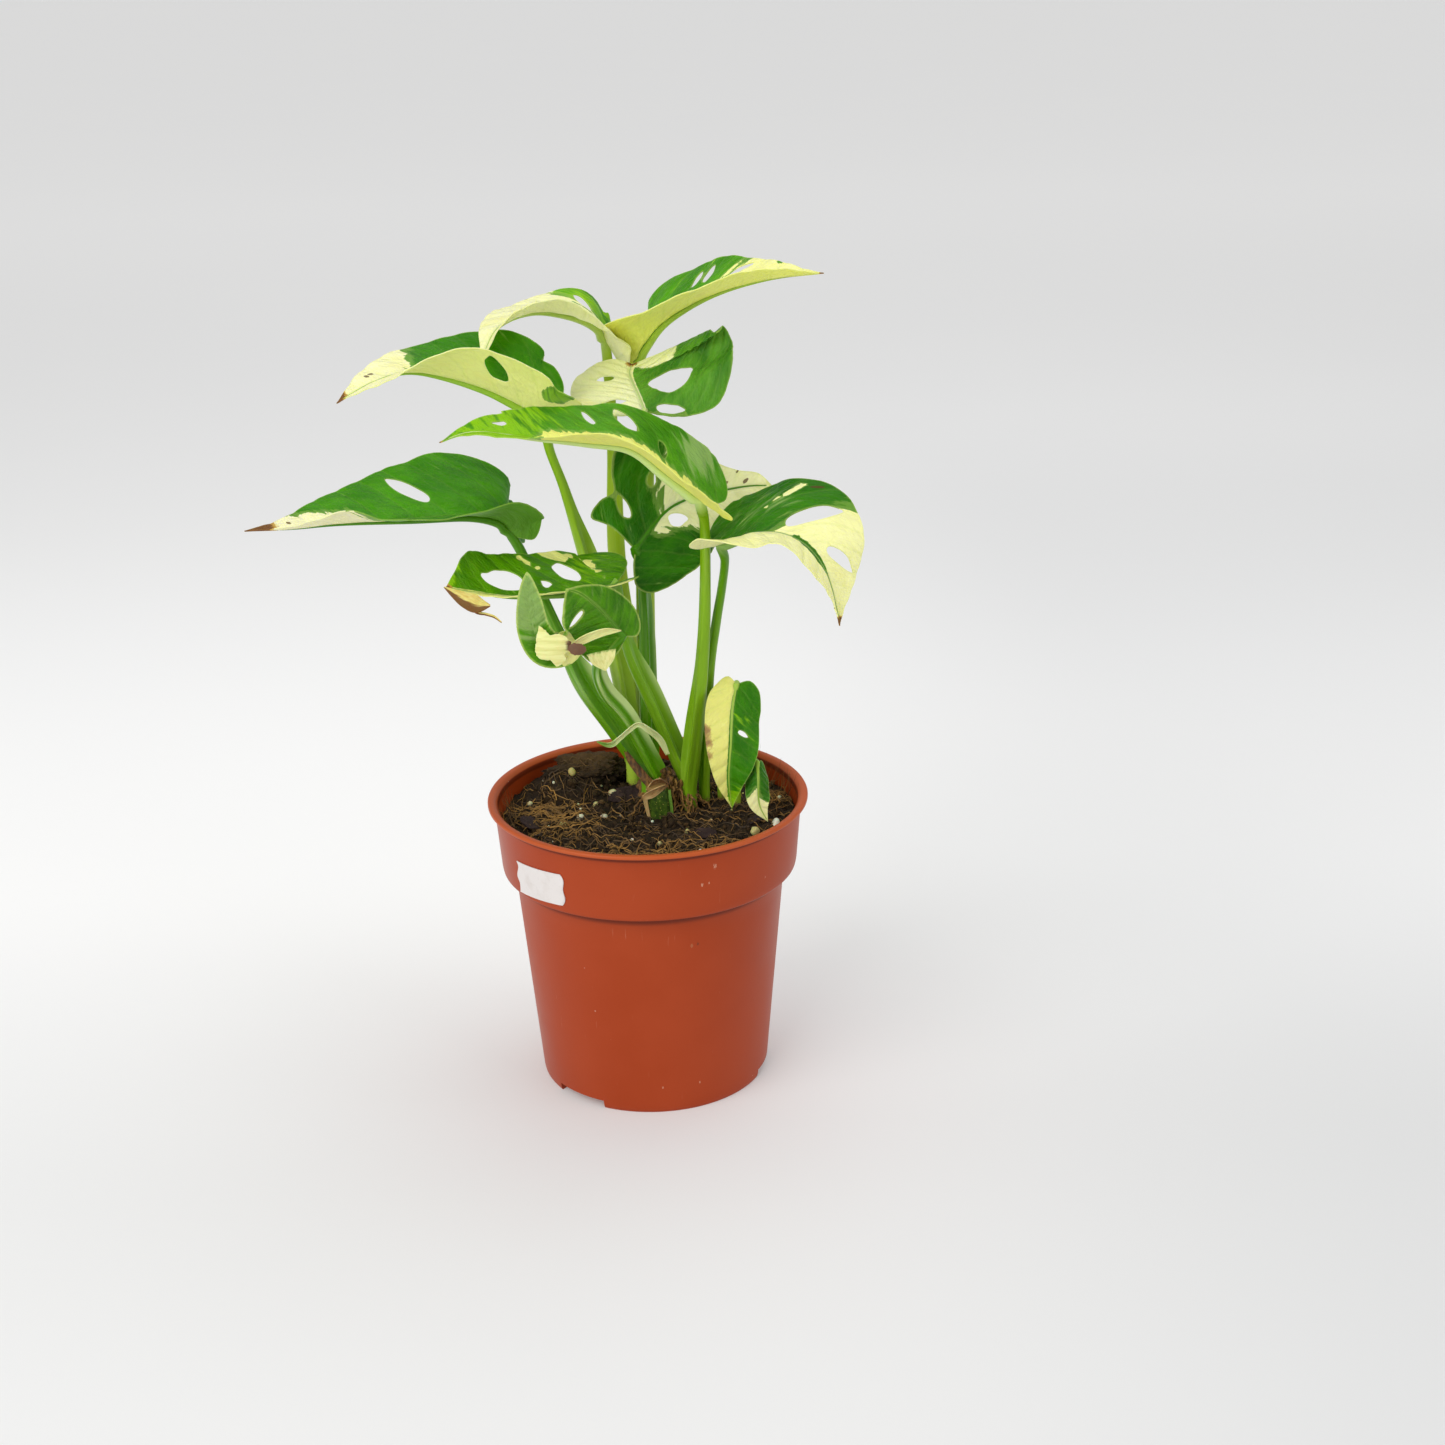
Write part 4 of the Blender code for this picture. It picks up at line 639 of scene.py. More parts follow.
class Blade:
    """The surface of a leaf: plan places to points in space."""

    def __init__(self, spec, seed):
        self.spec = spec
        self.seed = seed
        self.curve, self.length = even_curve(spec["spine"], CURVE_STEPS + 1)
        self.forward = unit(np.gradient(self.curve, axis=0))
        self.left = unit(np.cross(unit(spec["facing"]), self.forward))
        self.up = np.cross(self.forward, self.left)
        self.spacing = self.length / VEIN_COUNT

    def frame(self, shares):
        """Midrib points and the forward, left and upward directions at shares of the midrib."""
        held = np.clip(shares, 0, 1)
        place = held * CURVE_STEPS
        steps = np.arange(CURVE_STEPS + 1)

        def between(rows):
            return np.stack([np.interp(place, steps, rows[:, axis]) for axis in range(3)], 1)

        forward = unit(between(self.forward))
        origin = between(self.curve) + forward * ((shares - held) * self.length)[:, None]
        return origin, forward, unit(between(self.left)), unit(between(self.up))

    def veins(self, along, across):
        """Places measured along the side veins: where the vein leaves the midrib, and how far out."""
        distance = np.abs(across)
        return along - VEIN_LEAN * distance - VEIN_BEND * distance ** 2, distance

    def place(self, along, across):
        """The points over plan places, with the soft fold at the midrib, the veins and the waves."""
        along = np.asarray(along, float)
        across = np.asarray(across, float)
        share = along / self.length
        origin, _, left, up = self.frame(share)
        distance = np.abs(across)
        result = np.empty((len(along), 3))
        for sign, key in ((1, "left"), (-1, "right")):
            side = self.spec[key]
            chosen = across >= 0 if sign > 0 else across < 0
            if not chosen.any():
                continue
            start = np.radians(at_share(side["lift"], share[chosen]))
            reach = distance[chosen]
            curl = math.radians(side["curl"])
            if curl:
                radius = side["width"] / curl
                end = start + reach / radius
                flat = radius * (np.sin(end) - np.sin(start))
                rise = radius * (np.cos(start) - np.cos(end))
            else:
                flat = reach * np.cos(start)
                rise = reach * np.sin(start)
            soft = FOLD_RADIUS * (1 - np.exp(-reach / FOLD_RADIUS))
            flat += soft * (1 - np.cos(start))
            rise -= soft * np.sin(start)
            root, _ = self.veins(along[chosen], across[chosen])
            nearest = np.abs((root / self.spacing + 0.5) % 1 - 0.5) * self.spacing
            out = np.clip(reach / side["width"], 0, 1)
            quilt = QUILT_RISE * (1 - np.exp(-(nearest / 2.2) ** 2)) * np.clip(reach / 4, 0, 1)
            quilt *= 1 - 0.6 * out
            wave = rough(np.stack([along[chosen] * 0.07, reach * 0.05], 1), 1.0, self.seed + sign * 3.3)
            rise += quilt + WAVE_RISE * wave * out - RIB_DIP * np.exp(-(reach / 0.9) ** 2)
            result[chosen] = (origin[chosen] + sign * left[chosen] * flat[:, None]
                              + up[chosen] * rise[:, None])
        return result

    def margin(self, sign):
        """The outline of one side in the plan, from the base to the tip."""
        side = self.spec["left"] if sign > 0 else self.spec["right"]
        controls = [(along * self.length, sign * out * side["width"]) for along, out in side["outline"]]
        reach = np.linalg.norm(np.diff(controls, axis=0), axis=1).sum()
        points, _ = even_curve(controls, max(12, round(reach / MARGIN_STEP)))
        shift = rough(points, 0.12, self.seed) * 0.02 + rough(points, 0.5, self.seed) * 0.006
        points[:, 1] *= 1 + shift
        return points

    def holes(self):
        """Outlines of the holes in the plan."""
        loops = []
        for sign, key in ((1, "left"), (-1, "right")):
            side = self.spec[key]
            for along, out, length, width, heading in side["holes"]:
                turn = math.radians(heading)
                count = max(14, round(math.pi * (length + width) / 2 / HOLE_STEP))
                angle = around(count)
                ripple = 1 + 0.05 * np.sin(3 * angle + out * 9) + 0.03 * np.sin(5 * angle + along * 20)
                u = np.cos(angle) * length / 2 * ripple
                v = np.sin(angle) * width / 2 * (1 - 0.25 * np.cos(angle)) * ripple
                x = along * self.length + u * math.cos(turn) - v * math.sin(turn)
                y = sign * (out * side["width"] + u * math.sin(turn) + v * math.cos(turn))
                loops.append(np.stack([x, y], 1))
        return loops


def inside(points, loop):
    """Which plan points lie inside a closed outline."""
    x, y = points[:, :1], points[:, 1:]
    x1, y1 = loop[:, 0], loop[:, 1]
    x2, y2 = np.roll(x1, -1), np.roll(y1, -1)
    rise = np.where(y2 == y1, 1e-12, y2 - y1)
    crossing = ((y1 > y) != (y2 > y)) & (x < x1 + (y - y1) * (x2 - x1) / rise)
    return crossing.sum(1) % 2 == 1


def clearance(points, loop):
    """Distance from plan points to the nearest edge of a closed outline."""
    start = loop[None]
    edge = np.roll(loop, -1, axis=0)[None] - start
    offset = points[:, None] - start
    t = np.clip((offset * edge).sum(2) / np.maximum((edge ** 2).sum(2), 1e-12), 0, 1)
    return np.linalg.norm(offset - edge * t[..., None], axis=2).min(1)


def plan_mesh(outline, holes, spine, step):
    """Triangles that fill an outline around its holes, with the line of points kept as edges."""
    loops = [np.asarray(loop, float) for loop in [outline] + holes]
    low, high = loops[0].min(0), loops[0].max(0)
    rows = np.arange(low[1], high[1], step * math.sqrt(3) / 2)
    grid = np.array([(x + (step / 2 if row % 2 else 0), y) for row, y in enumerate(rows)
                     for x in np.arange(low[0], high[0], step)])
    kept = inside(grid, loops[0])
    for hole in loops[1:]:
        kept &= ~inside(grid, hole)
    for loop in loops:
        kept &= clearance(grid, loop) > step * 0.5
    if len(spine):
        kept &= (np.abs(grid[:, 1]) > step * 0.45) | (grid[:, 0] < 0)
    points = []
    edges = []
    for loop in loops:
        first = len(points)
        points += [Vector(point) for point in loop]
        edges += [(first + index, first + (index + 1) % len(loop)) for index in range(len(loop))]
    for index, point in enumerate(spine):
        points.append(Vector(point))
        if index:
            edges.append((len(points) - 2, len(points) - 1))
    points += [Vector(point) for point in grid[kept]]
    found, _, triangles, _, _, _ = delaunay_2d_cdt(points, edges, [], 0, 1e-5)
    found = np.array([tuple(point) for point in found])
    triangles = np.array(triangles)
    middle = found[triangles].mean(1)
    good = inside(middle, loops[0])
    for hole in loops[1:]:
        good &= ~inside(middle, hole)
    triangles = triangles[good]
    a, b, c = (found[triangles[:, corner]] for corner in range(3))
    area = (b - a)[:, 0] * (c - a)[:, 1] - (b - a)[:, 1] * (c - a)[:, 0]
    triangles[area < 0] = triangles[area < 0][:, ::-1]
    used = np.unique(triangles)
    order = np.zeros(len(found), int)
    order[used] = np.arange(len(used))
    return found[used], order[triangles], loops


def thick_sheet(points, triangles, thickness):
    """A closed sheet of even thickness around a triangulated surface, its upper face first."""
    normals = np.zeros_like(points)
    a, b, c = (points[triangles[:, corner]] for corner in range(3))
    for corner in range(3):
        np.add.at(normals, triangles[:, corner], np.cross(b - a, c - a))
    shift = unit(normals) * thickness / 2
    count = len(points)
    faces = [tuple(row) for row in triangles.tolist()]
    faces += [(c + count, b + count, a + count) for a, b, c in triangles.tolist()]
    directed = set()
    for a, b, c in triangles.tolist():
        directed.update(((a, b), (b, c), (c, a)))
    for a, b in sorted(directed):
        if (b, a) not in directed:
            faces.append((b, a, a + count, b + count))
    return np.vstack([points + shift, points - shift]), faces


def sweep(path, broad, radii, sides=0):
    """A closed tube along a path, with a radius for each point, or for each point and each angle round it."""
    path = np.asarray(path, float)
    broad = np.asarray(broad, float)
    radii = np.asarray(radii, float)
    if sides:
        radii = np.repeat(radii[:, None], sides, 1)
    sides = radii.shape[1]
    tangent = unit(np.gradient(path, axis=0))
    wide = unit(broad - tangent * (broad * tangent).sum(1, keepdims=True))
    thin = np.cross(tangent, wide)
    angle = around(sides)
    ring = wide[:, None] * np.cos(angle)[None, :, None] + thin[:, None] * np.sin(angle)[None, :, None]
    points = path[:, None] + ring * radii[..., None]
    points = np.vstack([points.reshape(-1, 3), path[:1], path[-1:]])
    last = (len(path) - 1) * sides
    start, end = len(points) - 2, len(points) - 1
    pairs = [(turn, (turn + 1) % sides) for turn in range(sides)]
    faces = [(row + a, row + b, row + b + sides, row + a + sides) for row in range(0, last, sides)
             for a, b in pairs]
    for a, b in pairs:
        faces += [(start, b, a), (end, last + a, last + b)]
    return points, faces


class Piece:
    """Gathers closed meshes with their painted fields into one object."""

    FIELDS = ("cream", "lime", "pale", "dry", "under", "rim")

    def __init__(self):
        self.points = []
        self.faces = []
        self.slots = []
        self.veins = []
        self.fields = {key: [] for key in self.FIELDS}

    def add(self, points, faces, slot=0, veins=None, **fields):
        """Add one mesh. A field that isn't given is 0."""
        start = sum(len(part) for part in self.points)
        self.points.append(np.asarray(points, float))
        self.faces += [tuple(index + start for index in face) for face in faces]
        self.slots += [slot] * len(faces)
        self.veins.append(np.zeros((len(points), 3)) if veins is None else veins)
        for key in self.FIELDS:
            self.fields[key].append(np.zeros(len(points)) + fields.get(key, 0.0))

    def strip(self, path, slot=0, thickness=PAPER_THICKNESS, cup=0.0, **fields):
        """Add a ribbon. A field is worked out from the share along it and the offset across it."""
        points, faces, place, share, offset = ribbon(*path, thickness, cup)
        values = {key: rule(share, offset) for key, rule in fields.items()}
        self.add(points, faces, slot, place, **values)

    def finish(self, name, materials, nodes, slot=None):
        """Make the object, ride it on the body and hide the nodes that it replaces."""
        mesh = bpy.data.meshes.new(name)
        mesh.from_pydata((np.vstack(self.points) * MM).tolist(), [], self.faces)
        mesh.polygons.foreach_set("material_index", self.slots)
        mesh.shade_smooth()
        mesh.set_sharp_from_angle(angle=math.radians(SHARP_ANGLE))
        vector = mesh.attributes.new("veins", "FLOAT_VECTOR", "POINT")
        vector.data.foreach_set("vector", np.vstack(self.veins).ravel())
        for key, parts in self.fields.items():
            attribute = mesh.attributes.new(key, "FLOAT", "POINT")
            attribute.data.foreach_set("value", np.concatenate(parts))
        for material in materials:
            mesh.materials.append(material)
        target = bpy.data.objects.new(name, mesh)
        bpy.context.scene.collection.objects.link(target)
        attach(target, "root")
        if nodes:
            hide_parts(*nodes)
        return target


class Tree:
    """Adds and joins the nodes of one material."""

    def __init__(self, name, **sockets):
        self.material = bpy.data.materials.new(name)
        self.material.use_nodes = True
        self.nodes = self.material.node_tree.nodes
        self.shader = self.nodes["Principled BSDF"]
        for key, value in sockets.items():
            self.put(self.shader, key.replace("_", " "), value)

    def put(self, node, key, value):
        """Set a socket, or link it if the value is another node's output."""
        socket = node.inputs[key]
        if isinstance(value, bpy.types.NodeSocket):
            self.material.node_tree.links.new(value, socket)
        elif isinstance(value, tuple) and socket.type == "RGBA":
            socket.default_value = (*value, 1.0)
        else:
            socket.default_value = value

    def add(self, kind, inputs, output=0, **settings):
        """A new node, by its output."""
        node = self.nodes.new("ShaderNode" + kind)
        for key, value in settings.items():
            setattr(node, key, value)
        for key, value in inputs.items():
            self.put(node, key, value)
        return node.outputs[output]

    def attribute(self, name, output="Fac"):
        return self.add("Attribute", {}, output, attribute_name=name)

    def math(self, operation, first, second=0.0, third=0.0):
        return self.add("Math", {0: first, 1: second, 2: third}, operation=operation)

    def mix(self, share, first, second):
        """A mix of two colours, whose sockets are 6 and 7 of the node."""
        return self.add("Mix", {0: share, 6: first, 7: second}, 2, data_type="RGBA", blend_type="MIX")

    def step(self, value, low, high, start=0.0, end=1.0):
        """A smooth step from start to end."""
        return self.add("MapRange", {"Value": value, "From Min": low, "From Max": high, "To Min": start,
                                     "To Max": end}, interpolation_type="SMOOTHSTEP")

    def noise(self, vector, scale, detail=3.0, roughness=0.55):
        return self.add("TexNoise", {"Vector": vector, "Scale": scale, "Detail": detail,
                                     "Roughness": roughness})

    def scaled(self, vector, scale):
        return self.add("VectorMath", {0: vector, 1: scale}, operation="MULTIPLY")

    def place(self):
        """Places on the object."""
        return self.add("TexCoord", {}, "Object")

    def part(self, vector, axis):
        return self.add("SeparateXYZ", {0: vector}, axis)

    def total(self, value, *rows):
        """A value with others added, each a row: other value, factor."""
        for other, factor in rows:
            value = self.math("MULTIPLY_ADD", other, factor, value)
        return value

    def varied(self, value, cloud, amount):
        """A value moved up and down by a noise."""
        return self.total(value, (self.math("SUBTRACT", cloud, 0.5), amount))

    def stepped(self, colour, *rows):
        """A colour under tones, each a row: value, start and end of its smooth step, amount, tone."""
        for value, low, high, amount, tone in rows:
            colour = self.mix(self.step(value, low, high, 0.0, amount), colour, tone)
        return colour

    def washed(self, colour, *rows):
        """A colour under tones, each a row: mask, amount, tone."""
        for mask, amount, tone in rows:
            colour = self.mix(self.math("MULTIPLY", mask, amount), colour, tone)
        return colour

    def finish(self, colour, height, strength, distance, roughness=None):
        """The material, once its colour, its bump and its roughness are joined to the shader."""
        self.put(self.shader, "Base Color", colour)
        if roughness is not None:
            self.put(self.shader, "Roughness", roughness)
        bump = self.add("Bump", {"Height": height, "Strength": strength, "Distance": distance})
        self.put(self.shader, "Normal", bump)
        return self.material


def leaf_material(name, blade, spots):
    """A blade's upper and under face: green and cream parts, veins, dry tips, margin and specks."""
    green, deep, cream = TONES[name]
    tree = Tree(name + "_blade", Subsurface_Weight=0.4, Subsurface_Radius=FLESH_REACH,
                Subsurface_Scale=FLESH_SCALE, Specular_IOR_Level=0.1)
    veins = tree.attribute("veins", "Vector")
    out = tree.part(veins, "Y")
    under = tree.attribute("under")
    broad = tree.noise(veins, 0.09, 2.0)
    fine = tree.noise(veins, 0.9, 4.0)
    grain = tree.noise(veins, 1.6, 3.0)
    streak = tree.noise(tree.scaled(veins, (0.42, 0.1, 1.0)), 1.0, 3.0, 0.5)
    blotch = tree.noise(tree.scaled(veins, (0.16, 0.07, 1.0)), 1.0, 3.0, 0.5)
    nearest = tree.math("PINGPONG", tree.part(veins, "X"), blade.spacing / 2)
    side_vein = tree.step(nearest, 0.15, 0.9, 1.0, 0.0)
    midrib = tree.step(out, 0.5, 1.5, 1.0, 0.0)
    vein = tree.math("MAXIMUM", tree.math("MULTIPLY", side_vein, 0.55), midrib)
    cells = tree.add("TexVoronoi", {"Vector": veins, "Scale": 0.33}, "Distance", feature="DISTANCE_TO_EDGE")
    net = tree.step(cells, 0.0, 0.09, 1.0, 0.0)

    lime = tree.step(tree.varied(tree.attribute("lime"), streak, 1.6), 0.3, 0.6)
    pale = tree.varied(tree.attribute("pale"), streak, 2.2)
    leafy = tree.mix(tree.step(broad, 0.3, 0.7, 0.15, 0.95), deep, green)
    leafy = tree.stepped(leafy, (grain, 0.45, 0.75, 0.3, deep))
    leafy = tree.washed(leafy, (vein, 0.14, PALE_GREEN), (net, 0.05, PALE_GREEN), (lime, 0.85, LIME),
                        (under, 0.3, PALE_GREEN))
    leafy = tree.stepped(leafy, (pale, 0.3, 0.9, 0.6, WASHED_GREEN))

    upper = UPPER_CREAM.get(name, cream)
    creamy = tree.stepped(upper, (blotch, 0.4, 0.75, 1.0, tuple(value * 0.92 for value in upper)))
    creamy = tree.mix(under, creamy, cream)
    creamy = tree.washed(creamy, (tree.step(streak, 0.58, 0.78), 0.3, GREENISH_CREAM))
    creamy = tree.stepped(creamy, (broad, 0.52, 0.75, 0.3, WARM_CREAM))
    creamy = tree.washed(creamy, (net, 0.1, CREAM_NET), (vein, 0.2, CREAM_VEIN))

    level = tree.varied(tree.varied(tree.attribute("cream"), streak, 1.5), fine, 0.4)
    surface = tree.washed(leafy, (tree.step(level, -0.5, -0.3), 0.4, PALE_GREEN))
    surface = tree.stepped(surface, (level, -0.05, 0.05, 1.0, creamy))
    wide, strength = PALE_MARGINS.get(name, (0.5, 0.22))
    margin = tree.step(tree.attribute("rim"), 0.2 * wide, wide, strength, 0.0)
    surface = tree.mix(margin, surface, MARGIN_TONE)
    if name in RIB_LINES:
        line, strength = RIB_LINES[name]
        surface = tree.mix(tree.step(out, 0.15, 0.75, strength, 0.0), surface, line)

    dry = tree.varied(tree.attribute("dry"), fine, 0.7)
    sear, brown, tan = DRIED.get(name, (SEAR, BROWN, TAN))
    surface = tree.stepped(surface, (dry, 0.3, 0.5, 1.0, sear),
                           (dry, 0.5, 0.75, 1.0, tree.mix(fine, brown, tan)))
    for side, share, reach, radius in spots:
        width = blade.spec["left" if side > 0 else "right"]["width"]
        root, distance = blade.veins(share * blade.length, side * reach * width)
        middle = (float(root), float(distance), blade.seed + side)
        far = tree.add("VectorMath", {0: veins, 1: middle}, "Value", operation="DISTANCE")
        spot = tree.varied(far, fine, 1.2 * radius)
        surface = tree.mix(tree.step(spot, radius * 0.8, radius * 1.1, 0.85, 0.0), surface, BROWN)
    shine = tree.total(tree.step(fine, 0.2, 0.8, 0.3, 0.42), (under, 0.16), (tree.step(dry, 0.3, 0.6), 0.35))
    height = tree.math("MULTIPLY", tree.step(nearest, 0.0, blade.spacing * 0.4), 0.3)
    height = tree.total(height, (tree.noise(veins, 0.32, 2.0), 1.5), (net, -0.06), (vein, -0.3),
                        (grain, 0.25), (fine, 0.2))
    return tree.finish(surface, height, 0.55, 0.0011, shine)


def stalk_material(name):
    """A petiole: streaked green, paler at its grooves and sheath margins, brown where it leaves the soil."""
    top, foot, _, _, _ = STALKS[name]
    tree = Tree(name + "_stalk", Subsurface_Weight=0.25, Subsurface_Radius=FLESH_REACH,
                Subsurface_Scale=FLESH_SCALE, Specular_IOR_Level=0.25)
    along = tree.attribute("veins", "Vector")
    streak = tree.noise(tree.scaled(along, (0.035, 0.7, 1.0)), 1.0, 4.0, 0.6)
    fine = tree.noise(along, 1.3, 3.0)
    pale = tree.varied(tree.attribute("cream"), streak, 0.5)
    dry = tree.varied(tree.attribute("dry"), fine, 0.8)
    colour = tree.stepped(tree.mix(tree.attribute("lime"), top, foot),
                          (streak, 0.45, 0.8, 0.35, tuple(value * 0.6 for value in foot)),
                          (streak, 0.5, 0.3, 0.3, STALK_STREAK),
                          (pale, 0.1, 1.2, 0.85, STALK_PALE),
                          (dry, 0.3, 0.75, 1.0, tree.mix(fine, BROWN, STALK_TAN)))
    return tree.finish(colour, tree.total(fine, (streak, 1.0)), 0.2, 0.0004,
                       tree.step(dry, 0.2, 0.7, 0.3, 0.75))


def painted(blade, paint, flat, loops):
    """The painted fields of a blade at its plan places."""
    along, across = flat[:, 0], flat[:, 1]
    share = along / blade.length
    stops = np.linspace(0, 1, 6)
    fields = {key: np.zeros(len(flat)) for key in ("cream", "lime", "pale", "dry")}
    for sign, key in ((1, "left"), (-1, "right")):
        chosen = across >= 0 if sign > 0 else across < 0
        inner, outer = paint[key]
        out = np.clip(np.abs(across[chosen]) / blade.spec[key]["width"], 0, 1)
        first = np.interp(share[chosen], stops, inner)
        second = np.interp(share[chosen], stops, outer)
        fields["cream"][chosen] = first + (second - first) * out
    for key in fields:
        for side, at, reach, radius, amount in paint.get(key, ()):
            width = blade.spec["left" if side > 0 else "right"]["width"]
            far = (along - at * blade.length) ** 2 + (across - side * reach * width) ** 2
            fields[key] += amount * np.exp(-far / (radius * radius))
    fields["rim"] = np.min([clearance(flat, loop) for loop in loops], axis=0)
    return fields


def add_sheet(piece, spec, paint, seed, rib_gap=0.0):
    """Add a pierced blade to a piece. Its midrib isn't drawn where a rib gap is given."""
    blade = Blade(spec, seed)
    left, right = blade.margin(1), blade.margin(-1)
    count = max(6, round(blade.length / BLADE_STEP))
    spine = [(blade.length * index / count, 0.0) for index in range(1, count)]
    outline = np.vstack([right, left[-2:0:-1]])
    flat, triangles, loops = plan_mesh(outline, blade.holes(), spine, BLADE_STEP)
    points, faces = thick_sheet(blade.place(flat[:, 0], flat[:, 1]), triangles, BLADE_THICKNESS)
    points[:, 1] = np.minimum(points[:, 1], BACK_REACH)
    fields = painted(blade, paint, flat, loops)
    fields["under"] = np.zeros(len(flat))
    root, distance = blade.veins(flat[:, 0], flat[:, 1])
    veins = np.stack([root, distance + rib_gap, seed + np.where(flat[:, 1] >= 0, 1.0, -1.0)], 1)
    both = {key: np.tile(values, 2) for key, values in fields.items()}
    both["under"][len(flat):] = 1.0
    piece.add(points, faces, 0, np.tile(veins, (2, 1)), **both)
    return blade


def stalk_path(spec):
    """Centre line of a petiole from under the blade into the soil, with its radii and shares."""
    x, y = spec["foot"]
    above = list(spec["petiole"]) + [(x, y, FOOT_TOP)]
    curve, length = even_curve(above, 64)
    stated = spec["radii"] + (spec["radii"][-1],)
    radii = at_share(stated, np.linspace(0, 1, len(curve)))
    down = np.array([(x, y, height) for height in np.linspace(FOOT_TOP - 2, FOOT_END, 7)])
    return np.vstack([curve, down]), np.concatenate([radii, np.full(7, spec["radii"][-1])]), length


def add_stalk(piece, name, blade):
    """Add the midrib under the blade and the petiole with its groove and sheath."""
    spec = blade.spec
    _, _, rib_pale, groove, sheath = STALKS[name]
    path, radii, length = stalk_path(spec)
    shares = np.linspace(RIB_END, 0, max(8, round(blade.length * RIB_END / 2)), endpoint=False)
    origin, _, _, up = blade.frame(shares)
    rib = spec["radii"][0] * (1 - 0.93 * shares)
    rib_path = origin - up * (rib - 0.1)[:, None]
    whole = np.vstack([rib_path, path])
    size = np.concatenate([rib, radii])
    step = np.linalg.norm(np.diff(whole, axis=0), axis=1)
    arc = np.concatenate([[0], np.cumsum(step)])
    below = np.clip((arc - arc[len(rib_path)]) / length, 0, 1.2)
    on_stalk = (np.arange(len(whole)) >= len(rib_path)).astype(float)
    size = size * (1 + 0.16 * on_stalk * np.exp(-((below - 0.05) / 0.045) ** 2))
    blend = np.clip(below / 0.12, 0, 1)[:, None]
    broad = np.vstack([up, np.repeat(up[-1:], len(path), 0)]) * (1 - blend) + unit(groove) * blend
    angle = (around(PETIOLE_SIDES) + math.pi) % (2 * math.pi) - math.pi
    dent = np.exp(-(angle / 0.5) ** 2)[None] * np.clip(below / 0.15, 0, 1)[:, None]
    rings = size[:, None] * (1 - 0.16 * dent)
    soft = np.zeros_like(rings)
    edge = 0.0
    if sheath:
        begin, full, width, edge = sheath
        grow = np.clip((below - begin) / (full - begin), 0, 1)
        grow = grow * grow * (3 - 2 * grow) * np.clip((1.02 - below) / 0.1, 0, 1)
        ridge = np.exp(-((np.abs(angle) - 0.85) / 0.2) ** 2)
        wings = grow[:, None] * ridge[None]
        soft = grow[:, None] * np.exp(-((np.abs(angle) - 0.95) / 0.42) ** 2)[None]
        soft = soft * np.where(angle < 0, 1.35, 0.4)[None]
        soft = soft * np.clip((0.95 - below) / 0.4, 0.15, 1)[:, None]
        rings = rings + wings * width - size[:, None] * 0.3 * grow[:, None] * dent
    points, faces = sweep(whole, broad, rings)
    girth = angle[None] * size[:, None]
    veins = np.stack([np.repeat(arc, PETIOLE_SIDES), girth.ravel(), np.full(girth.size, blade.seed)], 1)
    dry = np.clip((109 - whole[:, 2]) / 8, 0, 1.0) * on_stalk
    pale = soft * edge + (rib_pale * np.clip(1 - below / 0.08, 0, 1))[:, None]
    piece.add(points, faces, 1, with_ends(veins), cream=with_ends(pale.ravel()),
              lime=with_ends(np.repeat(np.clip(below, 0, 1), PETIOLE_SIDES)),
              dry=with_ends(np.repeat(dry, PETIOLE_SIDES)))


def make_leaf(index, name):
    """A leaf: its blade, midrib and petiole, and for the twisted leaf its folded lobe."""
    spec = LEAVES[name]
    paint = PAINT[name]
    piece = Piece()
    seed = 10.0 + index * 7.0
    blade = add_sheet(piece, spec, paint, seed)
    add_stalk(piece, name, blade)
    materials = [leaf_material(name, blade, paint.get("spots", ())), stalk_material(name)]
    if "lobe" in spec:
        add_sheet(piece, spec["lobe"], LOBE_PAINT, seed + 3, LOBE_RIB_GAP)
    piece.finish(name + "_fine", materials, [name])


